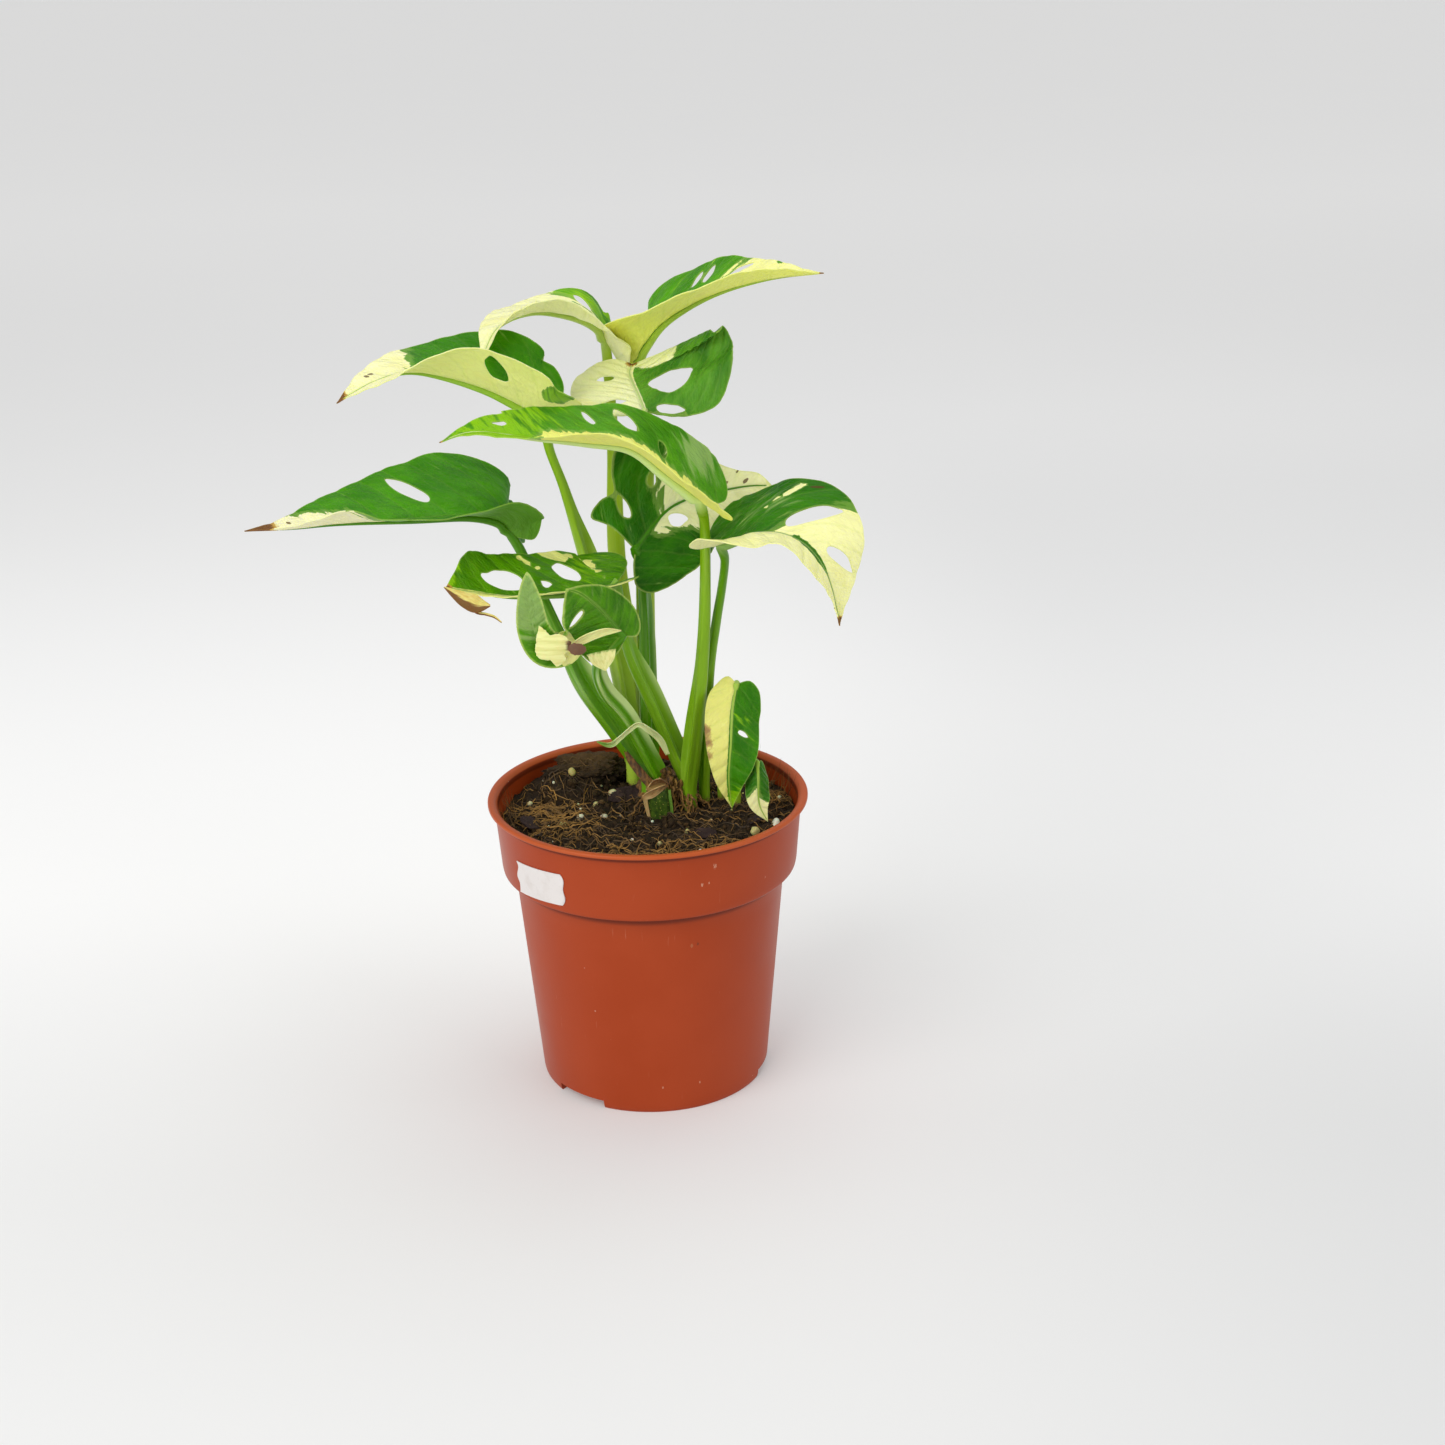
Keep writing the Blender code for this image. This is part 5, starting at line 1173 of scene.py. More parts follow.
def pot_material():
    """Terracotta-coloured plastic: satin, with scuffs, pale specks, painted shade under the lip and the step,
    and a painted highlight along the top of the lip.
    """
    tree = Tree("pot_plastic", Specular_IOR_Level=0.2)
    place = tree.place()
    broad = tree.noise(place, 22.0, 3.0)
    grain = tree.noise(place, 1400.0, 2.0)
    scratch = tree.noise(tree.scaled(place, (900.0, 900.0, 60.0)), 1.0, 2.0)
    cells = tree.add("TexVoronoi", {"Vector": place, "Scale": 95.0}, "Distance")
    chosen = tree.add("TexVoronoi", {"Vector": place, "Scale": 95.0}, "Color")
    speck = tree.math("MULTIPLY", tree.step(cells, 0.03, 0.05, 1.0, 0.0), tree.step(chosen, 0.62, 0.64))
    height = tree.part(place, "Z")
    step = (POT_HEIGHT - RIM_BAND) * MM
    groove = (POT_HEIGHT - LIP_HEIGHT) * MM
    shades = []
    for edge, start, full, end, last in ((step, -4.2, -2.2, 0.5, 0.1), (groove, -2.3, -1.4, 0.2, 0.0)):
        shades.append(tree.math("MULTIPLY", tree.step(height, edge + start * MM, edge + full * MM),
                                tree.step(height, edge + end * MM, edge + last * MM)))
    colour = tree.stepped(POT_COLOUR, (broad, 0.3, 0.7, 1.0, POT_BLUSH),
                          (scratch, 0.7, 0.82, 0.25, POT_SCRATCH))
    colour = tree.washed(colour, (speck, 0.6, POT_SPECK))
    colour = tree.stepped(colour, (grain, 0.62, 0.75, 0.15, POT_GRAIN))
    colour = tree.washed(colour, (tree.math("MAXIMUM", *shades), 0.8, POT_SHADE))
    for degrees, level, reach, tone in SCUFFS:
        angle = math.radians(degrees)
        on_body = level < POT_HEIGHT - RIM_BAND
        radius = wall_radius(level) if on_body else (BAND_TOP_RADIUS + BAND_FOOT_RADIUS) / 2
        spot = Vector((radius * math.cos(angle), radius * math.sin(angle), level)) * MM
        away = tree.add("VectorMath", {0: place, 1: tuple(spot)}, operation="SUBTRACT")
        far = tree.add("VectorMath", {0: tree.scaled(away, (1.0, 1.0, 0.6))}, "Value", operation="LENGTH")
        far = tree.varied(far, tree.noise(place, 2600.0, 2.0), reach * MM)
        colour = tree.mix(tree.step(far, reach * 0.3 * MM, reach * 0.6 * MM, 0.6, 0.0), colour, tone)
    # Painted highlight along the top of the lip
    colour = tree.stepped(colour, (height, groove + 0.1 * MM, groove + 0.5 * MM, 0.45, POT_LIP_HIGHLIGHT))
    return tree.finish(colour, tree.total(broad, (grain, 0.5)), 0.12, 0.0004,
                       tree.step(broad, 0.3, 0.7, 0.34, 0.46))


def wall_radius(height):
    """Outer radius of the pot's body under its step."""
    return BASE_RADIUS + (BODY_TOP_RADIUS - BASE_RADIUS) * height / (POT_HEIGHT - RIM_BAND)


def turned(profile, sides):
    """A turned shell from a closed profile of (radius, height) that crosses the axis."""
    angle = around(sides)
    points = []
    rings = []
    for radius, height in profile:
        if radius < 1e-6:
            rings.append([len(points)])
            points.append((0, 0, height))
            continue
        rings.append(list(range(len(points), len(points) + sides)))
        points += [(radius * math.cos(turn), radius * math.sin(turn), height) for turn in angle]
    faces = []
    for upper, lower in zip(rings, rings[1:] + rings[:1]):
        for index in range(sides):
            step = (index + 1) % sides
            if len(upper) == 1 and len(lower) == 1:
                break
            if len(upper) == 1:
                faces.append((upper[0], lower[index], lower[step]))
            elif len(lower) == 1:
                faces.append((upper[index], lower[0], upper[step]))
            else:
                faces.append((upper[index], lower[index], lower[step], upper[step]))
    return points, faces


def cutter(points, faces):
    """An object to cut with."""
    mesh = bpy.data.meshes.new("cutter")
    mesh.from_pydata((np.asarray(points, float) * MM).tolist(), [], faces)
    target = bpy.data.objects.new("cutter", mesh)
    bpy.context.scene.collection.objects.link(target)
    return target


def make_pot():
    """The pot: beaded rim, deep band, step, tapered body, notched foot and a floor with drain holes."""
    step = POT_HEIGHT - RIM_BAND
    floor_top = CHANNEL_HEIGHT + FLOOR_THICKNESS
    lip_low = POT_HEIGHT - LIP_HEIGHT
    profile = [
        (RIM_RADIUS - LIP, POT_HEIGHT - 0.3), (RIM_RADIUS - 2.1, POT_HEIGHT - 0.08),
        (RIM_RADIUS - 1.4, POT_HEIGHT),
        (RIM_RADIUS - 0.7, POT_HEIGHT), (RIM_RADIUS - 0.25, POT_HEIGHT - 0.15),
        (RIM_RADIUS, POT_HEIGHT - 0.6),
        (RIM_RADIUS, lip_low + 0.35), (RIM_RADIUS - 0.3, lip_low), (BAND_TOP_RADIUS + 0.5, lip_low - 0.05),
        (BAND_TOP_RADIUS + 0.1, lip_low - 0.2), (BAND_TOP_RADIUS, lip_low - 0.6),
    ]
    for share in np.linspace(0.12, 0.9, 6):
        profile.append((BAND_TOP_RADIUS + (BAND_FOOT_RADIUS - BAND_TOP_RADIUS) * share,
                        lip_low + (step - lip_low) * share))
    profile += [
        (BAND_FOOT_RADIUS, step + 1.3), (BAND_FOOT_RADIUS - 0.15, step + 0.7),
        (BAND_FOOT_RADIUS - 0.5, step + 0.25),
        (BAND_FOOT_RADIUS - 1.2, step), (BODY_TOP_RADIUS + 0.9, step), (BODY_TOP_RADIUS + 0.25, step - 0.25),
        (wall_radius(step - 1), step - 1.0),
    ]
    for height in (75, 60, 45, 30, 15, 6, 2):
        profile.append((wall_radius(height), float(height)))
    profile += [
        (BASE_RADIUS - 0.1, 0.6), (BASE_RADIUS - 0.5, 0.0), (BASE_RADIUS - FOOT_WIDTH + 0.4, 0.0),
        (BASE_RADIUS - FOOT_WIDTH, 0.4), (BASE_RADIUS - FOOT_WIDTH - 0.8, CHANNEL_HEIGHT - 0.5),
        (BASE_RADIUS - FOOT_WIDTH - 1.3, CHANNEL_HEIGHT), (CENTRE_PAD_RADIUS + 1.4, CHANNEL_HEIGHT),
        (CENTRE_PAD_RADIUS + 0.9, CHANNEL_HEIGHT - 0.5), (CENTRE_PAD_RADIUS + 0.2, 0.4),
        (CENTRE_PAD_RADIUS - 0.3, 0.0), (0.0, 0.0), (0.0, floor_top),
        (wall_radius(floor_top) - WALL - 1.0, floor_top), (wall_radius(floor_top) - WALL, floor_top + 1.0),
        (BODY_TOP_RADIUS - WALL, step + WALL - 0.3), (BODY_TOP_RADIUS - WALL + 0.4, step + WALL),
        (BAND_FOOT_RADIUS - WALL - 0.5, step + WALL), (BAND_FOOT_RADIUS - WALL, step + WALL + 0.5),
        (BAND_TOP_RADIUS - WALL, POT_HEIGHT - 4.0), (BAND_TOP_RADIUS - WALL + 0.05, POT_HEIGHT - 2.4),
        (BAND_TOP_RADIUS - WALL + 0.3, lip_low + 0.2),
    ]
    points, faces = turned(profile, POT_SIDES)
    body = cutter(points, faces)
    cutters = []
    for angle in NOTCH_ANGLES:
        turn = math.radians(angle)
        box = []
        for x in (-6.0, 6.0):
            for y in (-NOTCH_WIDTH / 2, NOTCH_WIDTH / 2):
                for z in (-CHANNEL_HEIGHT, CHANNEL_HEIGHT):
                    box.append(((BASE_RADIUS + x) * math.cos(turn) - y * math.sin(turn),
                                (BASE_RADIUS + x) * math.sin(turn) + y * math.cos(turn), z))
        cutters.append(cutter(box, [(0, 1, 3, 2), (4, 6, 7, 5), (0, 4, 5, 1), (2, 3, 7, 6), (0, 2, 6, 4),
                                    (1, 5, 7, 3)]))
    for index in range(DRAIN_COUNT):
        turn = 2 * math.pi * (index + 0.5) / DRAIN_COUNT
        spot = np.array([math.cos(turn), math.sin(turn), 0]) * DRAIN_RING_RADIUS
        path = [spot + (0, 0, 1.0), spot + (0, 0, floor_top + 1.0)]
        cutters.append(cutter(*sweep(path, (1, 0, 0), (DRAIN_RADIUS, DRAIN_RADIUS), DRAIN_SIDES)))
    for other in cutters:
        modifier = body.modifiers.new("cut", "BOOLEAN")
        modifier.operation = "DIFFERENCE"
        modifier.solver = "EXACT"
        modifier.object = other
    cut = body.evaluated_get(bpy.context.evaluated_depsgraph_get()).data
    points = np.array([tuple(vertex.co) for vertex in cut.vertices]) / MM
    faces = [tuple(polygon.vertices) for polygon in cut.polygons]
    for used in [body] + cutters:
        bpy.data.objects.remove(used)
    piece = Piece()
    piece.add(points, faces)
    piece.finish("pot_fine", [pot_material()], ["pot"])


def make_label():
    """The blank sticker round the rim band, with wavy cut ends."""
    tree = Tree("label_paper", Roughness=0.55)
    fibre = tree.noise(tree.place(), 900.0, 4.0)
    smudge = tree.noise(tree.place(), 160.0, 3.0)
    paper, grey, dark = LABEL_TONES
    colour = tree.stepped(paper, (smudge, 0.45, 0.75, 1.0, grey), (fibre, 0.55, 0.8, 0.3, dark))
    material = tree.finish(colour, fibre, 0.3, 0.0002)
    slope = (BAND_TOP_RADIUS - BAND_FOOT_RADIUS) / (RIM_BAND - LIP_HEIGHT)
    columns, rows = LABEL_COLUMNS, LABEL_ROWS
    share = np.repeat(np.linspace(0, 1, rows), columns)
    across = np.tile(np.linspace(-0.5, 0.5, columns), rows) * (LABEL_LENGTH - 1.2)
    edge = np.clip((np.abs(across) - LABEL_LENGTH / 2 + 4) / 3.4, 0, 1)
    across = across + edge * 0.6 * np.sin(share * 3 * math.pi)
    across = across + np.where(across > 0, edge * 1.3 * np.sin(share * math.pi), 0)
    down = share * LABEL_HEIGHT - across * math.tan(math.radians(LABEL_TILT))
    lifted = 0.12 * np.sin(across * 0.9 + down) * edge
    top = POT_HEIGHT - LABEL_TOP_BELOW_RIM
    angle = math.radians(LABEL_ANGLE) + across / BAND_TOP_RADIUS
    layers = []
    for layer in (0, 1):
        radius = BAND_TOP_RADIUS - slope * (LABEL_TOP_BELOW_RIM - LIP_HEIGHT + down)
        radius += 0.08 + lifted * layer + layer * LABEL_THICKNESS
        layers.append(np.stack([radius * np.cos(angle), radius * np.sin(angle), top - down], 1))
    size = rows * columns
    faces = []
    for row in range(rows - 1):
        for column in range(columns - 1):
            a = row * columns + column
            faces.append((a + size, a + columns + size, a + columns + 1 + size, a + 1 + size))
            faces.append((a, a + 1, a + columns + 1, a + columns))
    rim = list(range(columns)) + [row * columns + columns - 1 for row in range(1, rows)]
    rim += [(rows - 1) * columns + column for column in range(columns - 2, -1, -1)]
    rim += [row * columns for row in range(rows - 2, 0, -1)]
    for a, b in zip(rim, rim[1:] + rim[:1]):
        faces.append((a + size, b + size, b, a))
    piece = Piece()
    piece.add(np.vstack(layers), faces)
    piece.finish("price_label_fine", [material], ["price_label"])


def soil_height(x, y):
    """Height of the soil over a place: low mounds, a clod at the back left and lumps down to crumbs."""
    height = SOIL_LEVEL + 1.6 * noise.noise(Vector((x * 0.045, y * 0.045, 3.0)))
    height += 1.1 * noise.noise(Vector((x * 0.16, y * 0.16, 9.0)))
    height += 1.6 * noise.noise(Vector((x * 0.42, y * 0.42, 5.0)))
    height += 1.0 * noise.noise(Vector((x * 0.95, y * 0.95, 1.0)))
    for cx, cy, radius, rise in SOIL_MOUNDS:
        height += rise * math.exp(-((x - cx) ** 2 + (y - cy) ** 2) / (radius * radius))
    return height


def soil_material(name, tones, scale):
    """Peat and coir: dark crumbs with paler shreds, rough and a little damp."""
    tree = Tree(name, Specular_IOR_Level=0.2)
    place = tree.place()
    lump = tree.noise(place, scale, 6.0, 0.65)
    shred = tree.noise(tree.scaled(place, (700.0, 260.0, 500.0)), 1.0, 4.0, 0.7)
    colour = tree.stepped(tones[0], (lump, 0.4, 0.75, 1.0, tones[1]), (shred, 0.62, 0.78, 0.5, SHRED))
    colour = tree.mix(tree.attribute("lime"), colour, GOLDEN)
    return tree.finish(colour, tree.total(lump, (shred, 0.6)), 0.8, 0.0012,
                       tree.step(lump, 0.3, 0.7, 0.65, 0.95))


def make_soil():
    """The soil: it fills the pot, with a crumbly top."""
    step = POT_HEIGHT - RIM_BAND
    top_radius = BAND_TOP_RADIUS - WALL - 2 * GAP
    sides = SOIL_SIDES
    angle = around(sides)
    circle = np.stack([np.cos(angle), np.sin(angle)], 1)
    ring = circle * top_radius
    flat, triangles, _ = plan_mesh(ring, [], [], SOIL_STEP)
    points = [(x, y, soil_height(x, y)) for x, y in flat]
    far = np.linalg.norm(flat[:, None] - ring[None], axis=2)
    previous = far.argmin(0).tolist()
    faces = [tuple(row) for row in triangles.tolist()]
    lower = [(BAND_FOOT_RADIUS - WALL - GAP, step + WALL + GAP),
             (BODY_TOP_RADIUS - WALL - GAP, step + WALL + GAP),
             (wall_radius(SOIL_FLOOR) - WALL - GAP, SOIL_FLOOR)]
    for radius, height in lower:
        now = list(range(len(points), len(points) + sides))
        points += [(radius * x, radius * y, height) for x, y in circle]
        for index in range(sides):
            follow = (index + 1) % sides
            faces.append((previous[index], now[index], now[follow], previous[follow]))
        previous = now
    middle = len(points)
    points.append((0, 0, SOIL_FLOOR))
    faces += [(previous[(index + 1) % sides], previous[index], middle) for index in range(sides)]
    piece = Piece()
    piece.add(points, faces)
    piece.finish("soil_fine", [soil_material("soil_peat", SOIL_TONES, 420.0)], ["soil"])


def lump_mesh():
    """A small round mesh to shape lumps from: unit points and faces."""
    ratio = (1 + math.sqrt(5)) / 2
    corners = [(-1, ratio, 0), (1, ratio, 0), (-1, -ratio, 0), (1, -ratio, 0), (0, -1, ratio), (0, 1, ratio),
               (0, -1, -ratio), (0, 1, -ratio), (ratio, 0, -1), (ratio, 0, 1),
               (-ratio, 0, -1), (-ratio, 0, 1)]
    faces = [(0, 11, 5), (0, 5, 1), (0, 1, 7), (0, 7, 10), (0, 10, 11), (1, 5, 9), (5, 11, 4), (11, 10, 2),
             (10, 7, 6), (7, 1, 8), (3, 9, 4), (3, 4, 2), (3, 2, 6), (3, 6, 8), (3, 8, 9), (4, 9, 5),
             (2, 4, 11), (6, 2, 10), (8, 6, 7), (9, 8, 1)]
    points = [tuple(row) for row in unit(corners)]

    def split(points, faces):
        points = list(points)
        made = {}
        finer = []

        def middle(a, b):
            key = (min(a, b), max(a, b))
            if key not in made:
                made[key] = len(points)
                points.append(tuple(unit(np.array(points[a]) + np.array(points[b]))))
            return made[key]

        for a, b, c in faces:
            ab, bc, ca = middle(a, b), middle(b, c), middle(c, a)
            finer += [(a, ab, ca), (b, bc, ab), (c, ca, bc), (ab, bc, ca)]
        return points, finer

    coarse = (np.array(points), faces)
    middle = split(points, faces)
    fine = split(*middle)
    finer = split(*fine)
    finest = split(*finer)
    return [coarse] + [(np.array(level[0]), level[1]) for level in (middle, fine, finer, finest)]


LUMPS = lump_mesh()


def turned_frame(rng):
    """A random turn, as three directions."""
    axes, _ = np.linalg.qr(rng.normal(size=(3, 3)))
    return axes


def add_lump(piece, centre, size, rng, level=0, jag=0.3, tint=0.0, turn=None, slot=0, coir_and_lit_top=0.0):
    """Add an irregular lump with three half sizes. The last argument makes its top paler, partly coir and
    partly painted light.
    """
    points, faces = LUMPS[level]
    seed = rng.uniform(0, 90)
    bulge = 1 + jag * rough(points, 1.4, seed)
    if level > 1:
        bulge = bulge + jag * 0.4 * rough(points, 4.0, seed) + jag * 0.25 * rough(points, 9.0, seed)
    if level > 3:
        bulge = bulge + jag * 0.3 * rough(points, 17.0, seed)
    axes = turned_frame(rng) if turn is None else turn
    shaped = (points * bulge[:, None] * np.asarray(size)) @ axes.T
    if np.linalg.det(axes) < 0:
        faces = [face[::-1] for face in faces]
    # The top is paler: partly coir, partly painted light falling on it
    piece.add(shaped + centre, faces, slot, lime=tint + coir_and_lit_top * np.clip(points[:, 2], 0, 1) ** 2)


def any_turn(rng):
    """A random angle."""
    return rng.uniform(0, 2 * math.pi)


def in_pot(rng):
    """A random place on the soil."""
    angle = any_turn(rng)
    radius = SCATTER_REACH * math.sqrt(rng.uniform(0, 1))
    return radius * math.cos(angle), radius * math.sin(angle)


def make_crumbs(rng):
    """Loose crumbs, bark chips and the dark clod that lie on the soil."""
    piece = Piece()
    for _ in range(CRUMB_COUNT):
        x, y = in_pot(rng)
        size = rng.uniform(0.4, 1.3) * (1 + (rng.uniform() > 0.93) * 0.9)
        tint = 0.25 * (rng.uniform() > 0.9) + 0.1 * rng.uniform()
        centre = (x, y, soil_height(x, y) + size * 0.2)
        add_lump(piece, centre, size * rng.uniform(0.6, 1.2, 3), rng, 0, 0.5, tint)
    # Clods, their tops paler partly with coir and partly with painted light
    for centre, size, tint, coir_and_lit_top in CLODS:
        add_lump(piece, centre, size, rng, 4, 0.45, tint, np.eye(3), 0, coir_and_lit_top)
    for x, y, long, wide, heading, tilt in CHIPS:
        turn = Matrix.Rotation(math.radians(heading), 3, "Z") @ Matrix.Rotation(math.radians(tilt), 3, "X")
        centre = (x, y, soil_height(x, y) + 1.0)
        add_lump(piece, centre, (long, wide, 0.8), rng, 3, 0.3, 0.0, np.array(turn), 1)
    crumb = soil_material("soil_crumb", CRUMB_TONES, 600.0)
    chip = soil_material("bark_chip", BARK_TONES, 300.0)
    piece.finish("soil_crumbs", [crumb, chip], [], "soil")


def make_pellets(rng):
    """Pale feed pellets and perlite grains among the soil."""
    tree = Tree("pellet", Roughness=0.5, Subsurface_Weight=0.3, Subsurface_Scale=0.001)
    mottle = tree.noise(tree.place(), 700.0, 3.0)
    yellow, white, spots = PELLET_TONES
    colour = tree.stepped(tree.mix(tree.attribute("lime"), yellow, white), (mottle, 0.4, 0.8, 0.5, spots))
    material = tree.finish(colour, mottle, 0.3, 0.0004)
    piece = Piece()
    for x, y, size, pale in PELLETS:
        centre = (x, y, soil_height(x, y) + size * 0.5)
        add_lump(piece, centre, (size, size * 0.8, size * 0.7), rng, 2, 0.15, pale)
    for _ in range(GRAIN_COUNT):
        x, y = in_pot(rng)
        size = rng.uniform(0.25, 0.6)
        centre = (x, y, soil_height(x, y) + size * 0.5)
        add_lump(piece, centre, (size,) * 3, rng, 1, 0.2, rng.uniform(0, 1))
    piece.finish("soil_pellets", [material], [], "soil")


def add_fibre(piece, start, heading, length, radius, rng, tint, rise=0.0, above=0.5):
    """Add one coir fibre: a thin curved strand over the soil. One that doesn't rise stays in the pot."""
    count = max(7, int(length / 1.6))
    bend = rng.normal(0, 0.09)
    x, y = start
    path = []
    for share in np.linspace(0, 1, count):
        base = soil_height(x, y) if math.hypot(x, y) < 55 else SOIL_LEVEL
        hump = 0.5 * math.sin(share * math.pi) * rng.uniform(0.5, 1)
        path.append((x, y, base + above + rise * share * share + hump))
        heading += bend + rng.normal(0, 0.12)
        x += math.cos(heading) * length / count
        y += math.sin(heading) * length / count
        reach = math.hypot(x, y)
        if rise == 0.0 and reach > FIBRE_REACH:
            x, y = x * FIBRE_REACH / reach, y * FIBRE_REACH / reach
            heading += 0.5
    taper = radius * (1 - 0.7 * np.linspace(0, 1, count) ** 2)
    piece.add(*sweep(path, (0.1, 0.2, 1.0), taper, 3), lime=tint)


def make_fibres(rng):
    """Coir fibres: tangled over the soil and the clod, thicker tufts, and hairs over the rim."""
    piece = Piece()
    for _ in range(FIBRE_COUNT):
        tint = rng.uniform(0.0, 0.9) ** 2
        add_fibre(piece, in_pot(rng), any_turn(rng), rng.uniform(4, 16), rng.uniform(0.1, 0.24), rng,
                  tint, 0.0,
                  rng.uniform(0.1, 1.2))
    for _ in range(CLOD_FIBRE_COUNT):
        turn = any_turn(rng)
        across = 12 * math.cos(turn) * rng.uniform(0.1, 1)
        back = 8 * math.sin(turn) * rng.uniform(0.1, 1)
        spot = (-22 + across, 33 + back)
        add_fibre(piece, spot, any_turn(rng), rng.uniform(3, 9), rng.uniform(0.1, 0.2), rng,
                  rng.uniform(0.0, 0.35), 0.0, rng.uniform(2.5, 4.5))
    for x, y, spread, number in TUFTS:
        for _ in range(number):
            spot = (x + rng.normal(0, spread * 0.5), y + rng.normal(0, spread * 0.5))
            add_fibre(piece, spot, any_turn(rng), rng.uniform(6, 16), rng.uniform(0.12, 0.26), rng,
                      rng.uniform(0.3, 0.95), 0.0, rng.uniform(0.4, 1.8))
    for index in range(RIM_HAIR_COUNT):
        turn = math.radians(rng.uniform(2, 58) if index < RIGHT_HAIR_COUNT else rng.uniform(165, 200))
        reach = rng.uniform(49, 53)
        spot = (reach * math.cos(turn), reach * math.sin(turn))
        add_fibre(piece, spot, turn + rng.normal(0, 0.7), rng.uniform(3, 8), rng.uniform(0.08, 0.14), rng,
                  rng.uniform(0.1, 0.5), rng.uniform(6, 13), 0.6)
    tree = Tree("coir", Roughness=0.7)
    mottle = tree.noise(tree.place(), 900.0, 3.0)
    dark, golden, spots = COIR_TONES
    colour = tree.stepped(tree.mix(tree.attribute("lime"), dark, golden), (mottle, 0.4, 0.8, 0.5, spots))
    piece.finish("soil_fibres", [tree.finish(colour, mottle, 0.3, 0.0003)], [], "soil")


def woody_material(name, dark, light):
    """Brown fibrous skin."""
    tree = Tree(name)
    place = tree.place()
    strand = tree.noise(tree.scaled(place, (900.0, 900.0, 220.0)), 1.0, 5.0, 0.65)
    broad = tree.noise(place, 240.0, 3.0)
    colour = tree.stepped(dark, (strand, 0.35, 0.7, 1.0, light), (broad, 0.5, 0.8, 0.6, BARK_STAIN))
    return tree.finish(colour, strand, 0.6, 0.0008, tree.step(strand, 0.3, 0.7, 0.6, 0.9))


def ribbon(points, widths, across, thickness, cup):
    """A thin closed strip along a smooth path: its width and its cross direction follow the path."""
    if np.ndim(across) == 1:
        across = (across,) * len(widths)
    count = len(widths) * 8
    columns = RIBBON_COLUMNS
    path, _ = even_curve(points, count)
    shares = np.linspace(0, 1, count)
    width = at_share(widths, shares)[:, None, None]
    side = unit(spline(across, shares))
    tangent = unit(np.gradient(path, axis=0))
    side = unit(side - tangent * (side * tangent).sum(1, keepdims=True))
    normal = np.cross(tangent, side)
    offset = np.linspace(-0.5, 0.5, columns)
    bend = cup * (offset * 2) ** 2
    surface = (path[:, None] + side[:, None] * (offset[None, :, None] * width)
               + normal[:, None] * (bend[None, :, None] * width))
    triangles = []
    for row in range(count - 1):
        for a in range(row * columns, row * columns + columns - 1):
            triangles += [(a, a + columns, a + columns + 1), (a, a + columns + 1, a + 1)]
    points, faces = thick_sheet(surface.reshape(-1, 3), np.array(triangles), thickness)
    share = np.repeat(shares, columns)
    place = np.stack([np.repeat(shares * count, columns), np.tile(offset, count) * 6,
                      np.zeros(len(share))], 1)
    return points, faces, np.tile(place, (2, 1)), np.tile(share, 2), np.tile(offset, 2 * count)


def papery_material(name, tones):
    """Dry or papery skin: pale where thin, green or brown where the fields say so."""
    pale, warm, dark = tones
    tree = Tree(name, Subsurface_Weight=0.25, Subsurface_Scale=0.001, Roughness=0.6)
    strand = tree.noise(tree.scaled(tree.attribute("veins", "Vector"), (0.12, 1.2, 1.0)), 1.0, 4.0, 0.6)
    tinted = tree.varied(tree.attribute("lime"), strand, 0.8)
    dry = tree.varied(tree.attribute("dry"), strand, 0.8)
    colour = tree.stepped(pale, (strand, 0.35, 0.7, 1.0, warm), (tinted, 0.35, 0.7, 1.0, PAPER_GREEN),
                          (dry, 0.3, 0.7, 1.0, dark))
    return tree.finish(colour, strand, 0.4, 0.0005)


def make_stem(rng):
    """The short brown stem with the knobs, the dried skin and the roots round it."""
    stem = Piece()
    shares = np.linspace(0, 1, STEM_RINGS)
    angle = around(BARK_SIDES)
    knots = 1 + 0.1 * np.sin(shares * 34)[:, None] + 0.08 * np.sin(angle * 5 + 1)[None]
    rings = at_share(STEM_RADII, shares)[:, None] * knots
    stem.add(*sweep(spline(STEM_PATH, shares), (1, 0, 0), rings))
    for knobs, flat, tall, jag in STEM_KNOBS:
        for x, y, z, radius in knobs:
            add_lump(stem, (x, y, z), (radius, radius * flat, radius * tall), rng, 3, jag)
    stem.strip(STEM_SKIN, 0, 0.4, 0.2)
    for _ in range(ROOT_COUNT):
        x, y = rng.uniform(-1, 17), rng.uniform(0.5, 6)
        start = np.array((x, y, 112 + rng.uniform(0, 6) - 0.4 * abs(x - 6)))
        end = np.array((x + rng.normal(0, 4), y - rng.uniform(0.5, 5), 103.2))
        path = start + (end - start) * np.linspace(0, 1, 9)[:, None] + rng.normal(0, 0.5, (9, 3))
        path, _ = even_curve(path, ROOT_RINGS)
        thick = rng.uniform(0.25, 0.6) * (1 - 0.5 * np.linspace(0, 1, ROOT_RINGS))
        stem.add(*sweep(path, (1, 0.2, 0.1), thick, 5), 1)
    materials = [woody_material("stem_bark", *BARK_SKIN), woody_material("stem_root", *ROOT_SKIN)]
    stem.finish("vine_stem_fine", materials, ["vine_stem"])


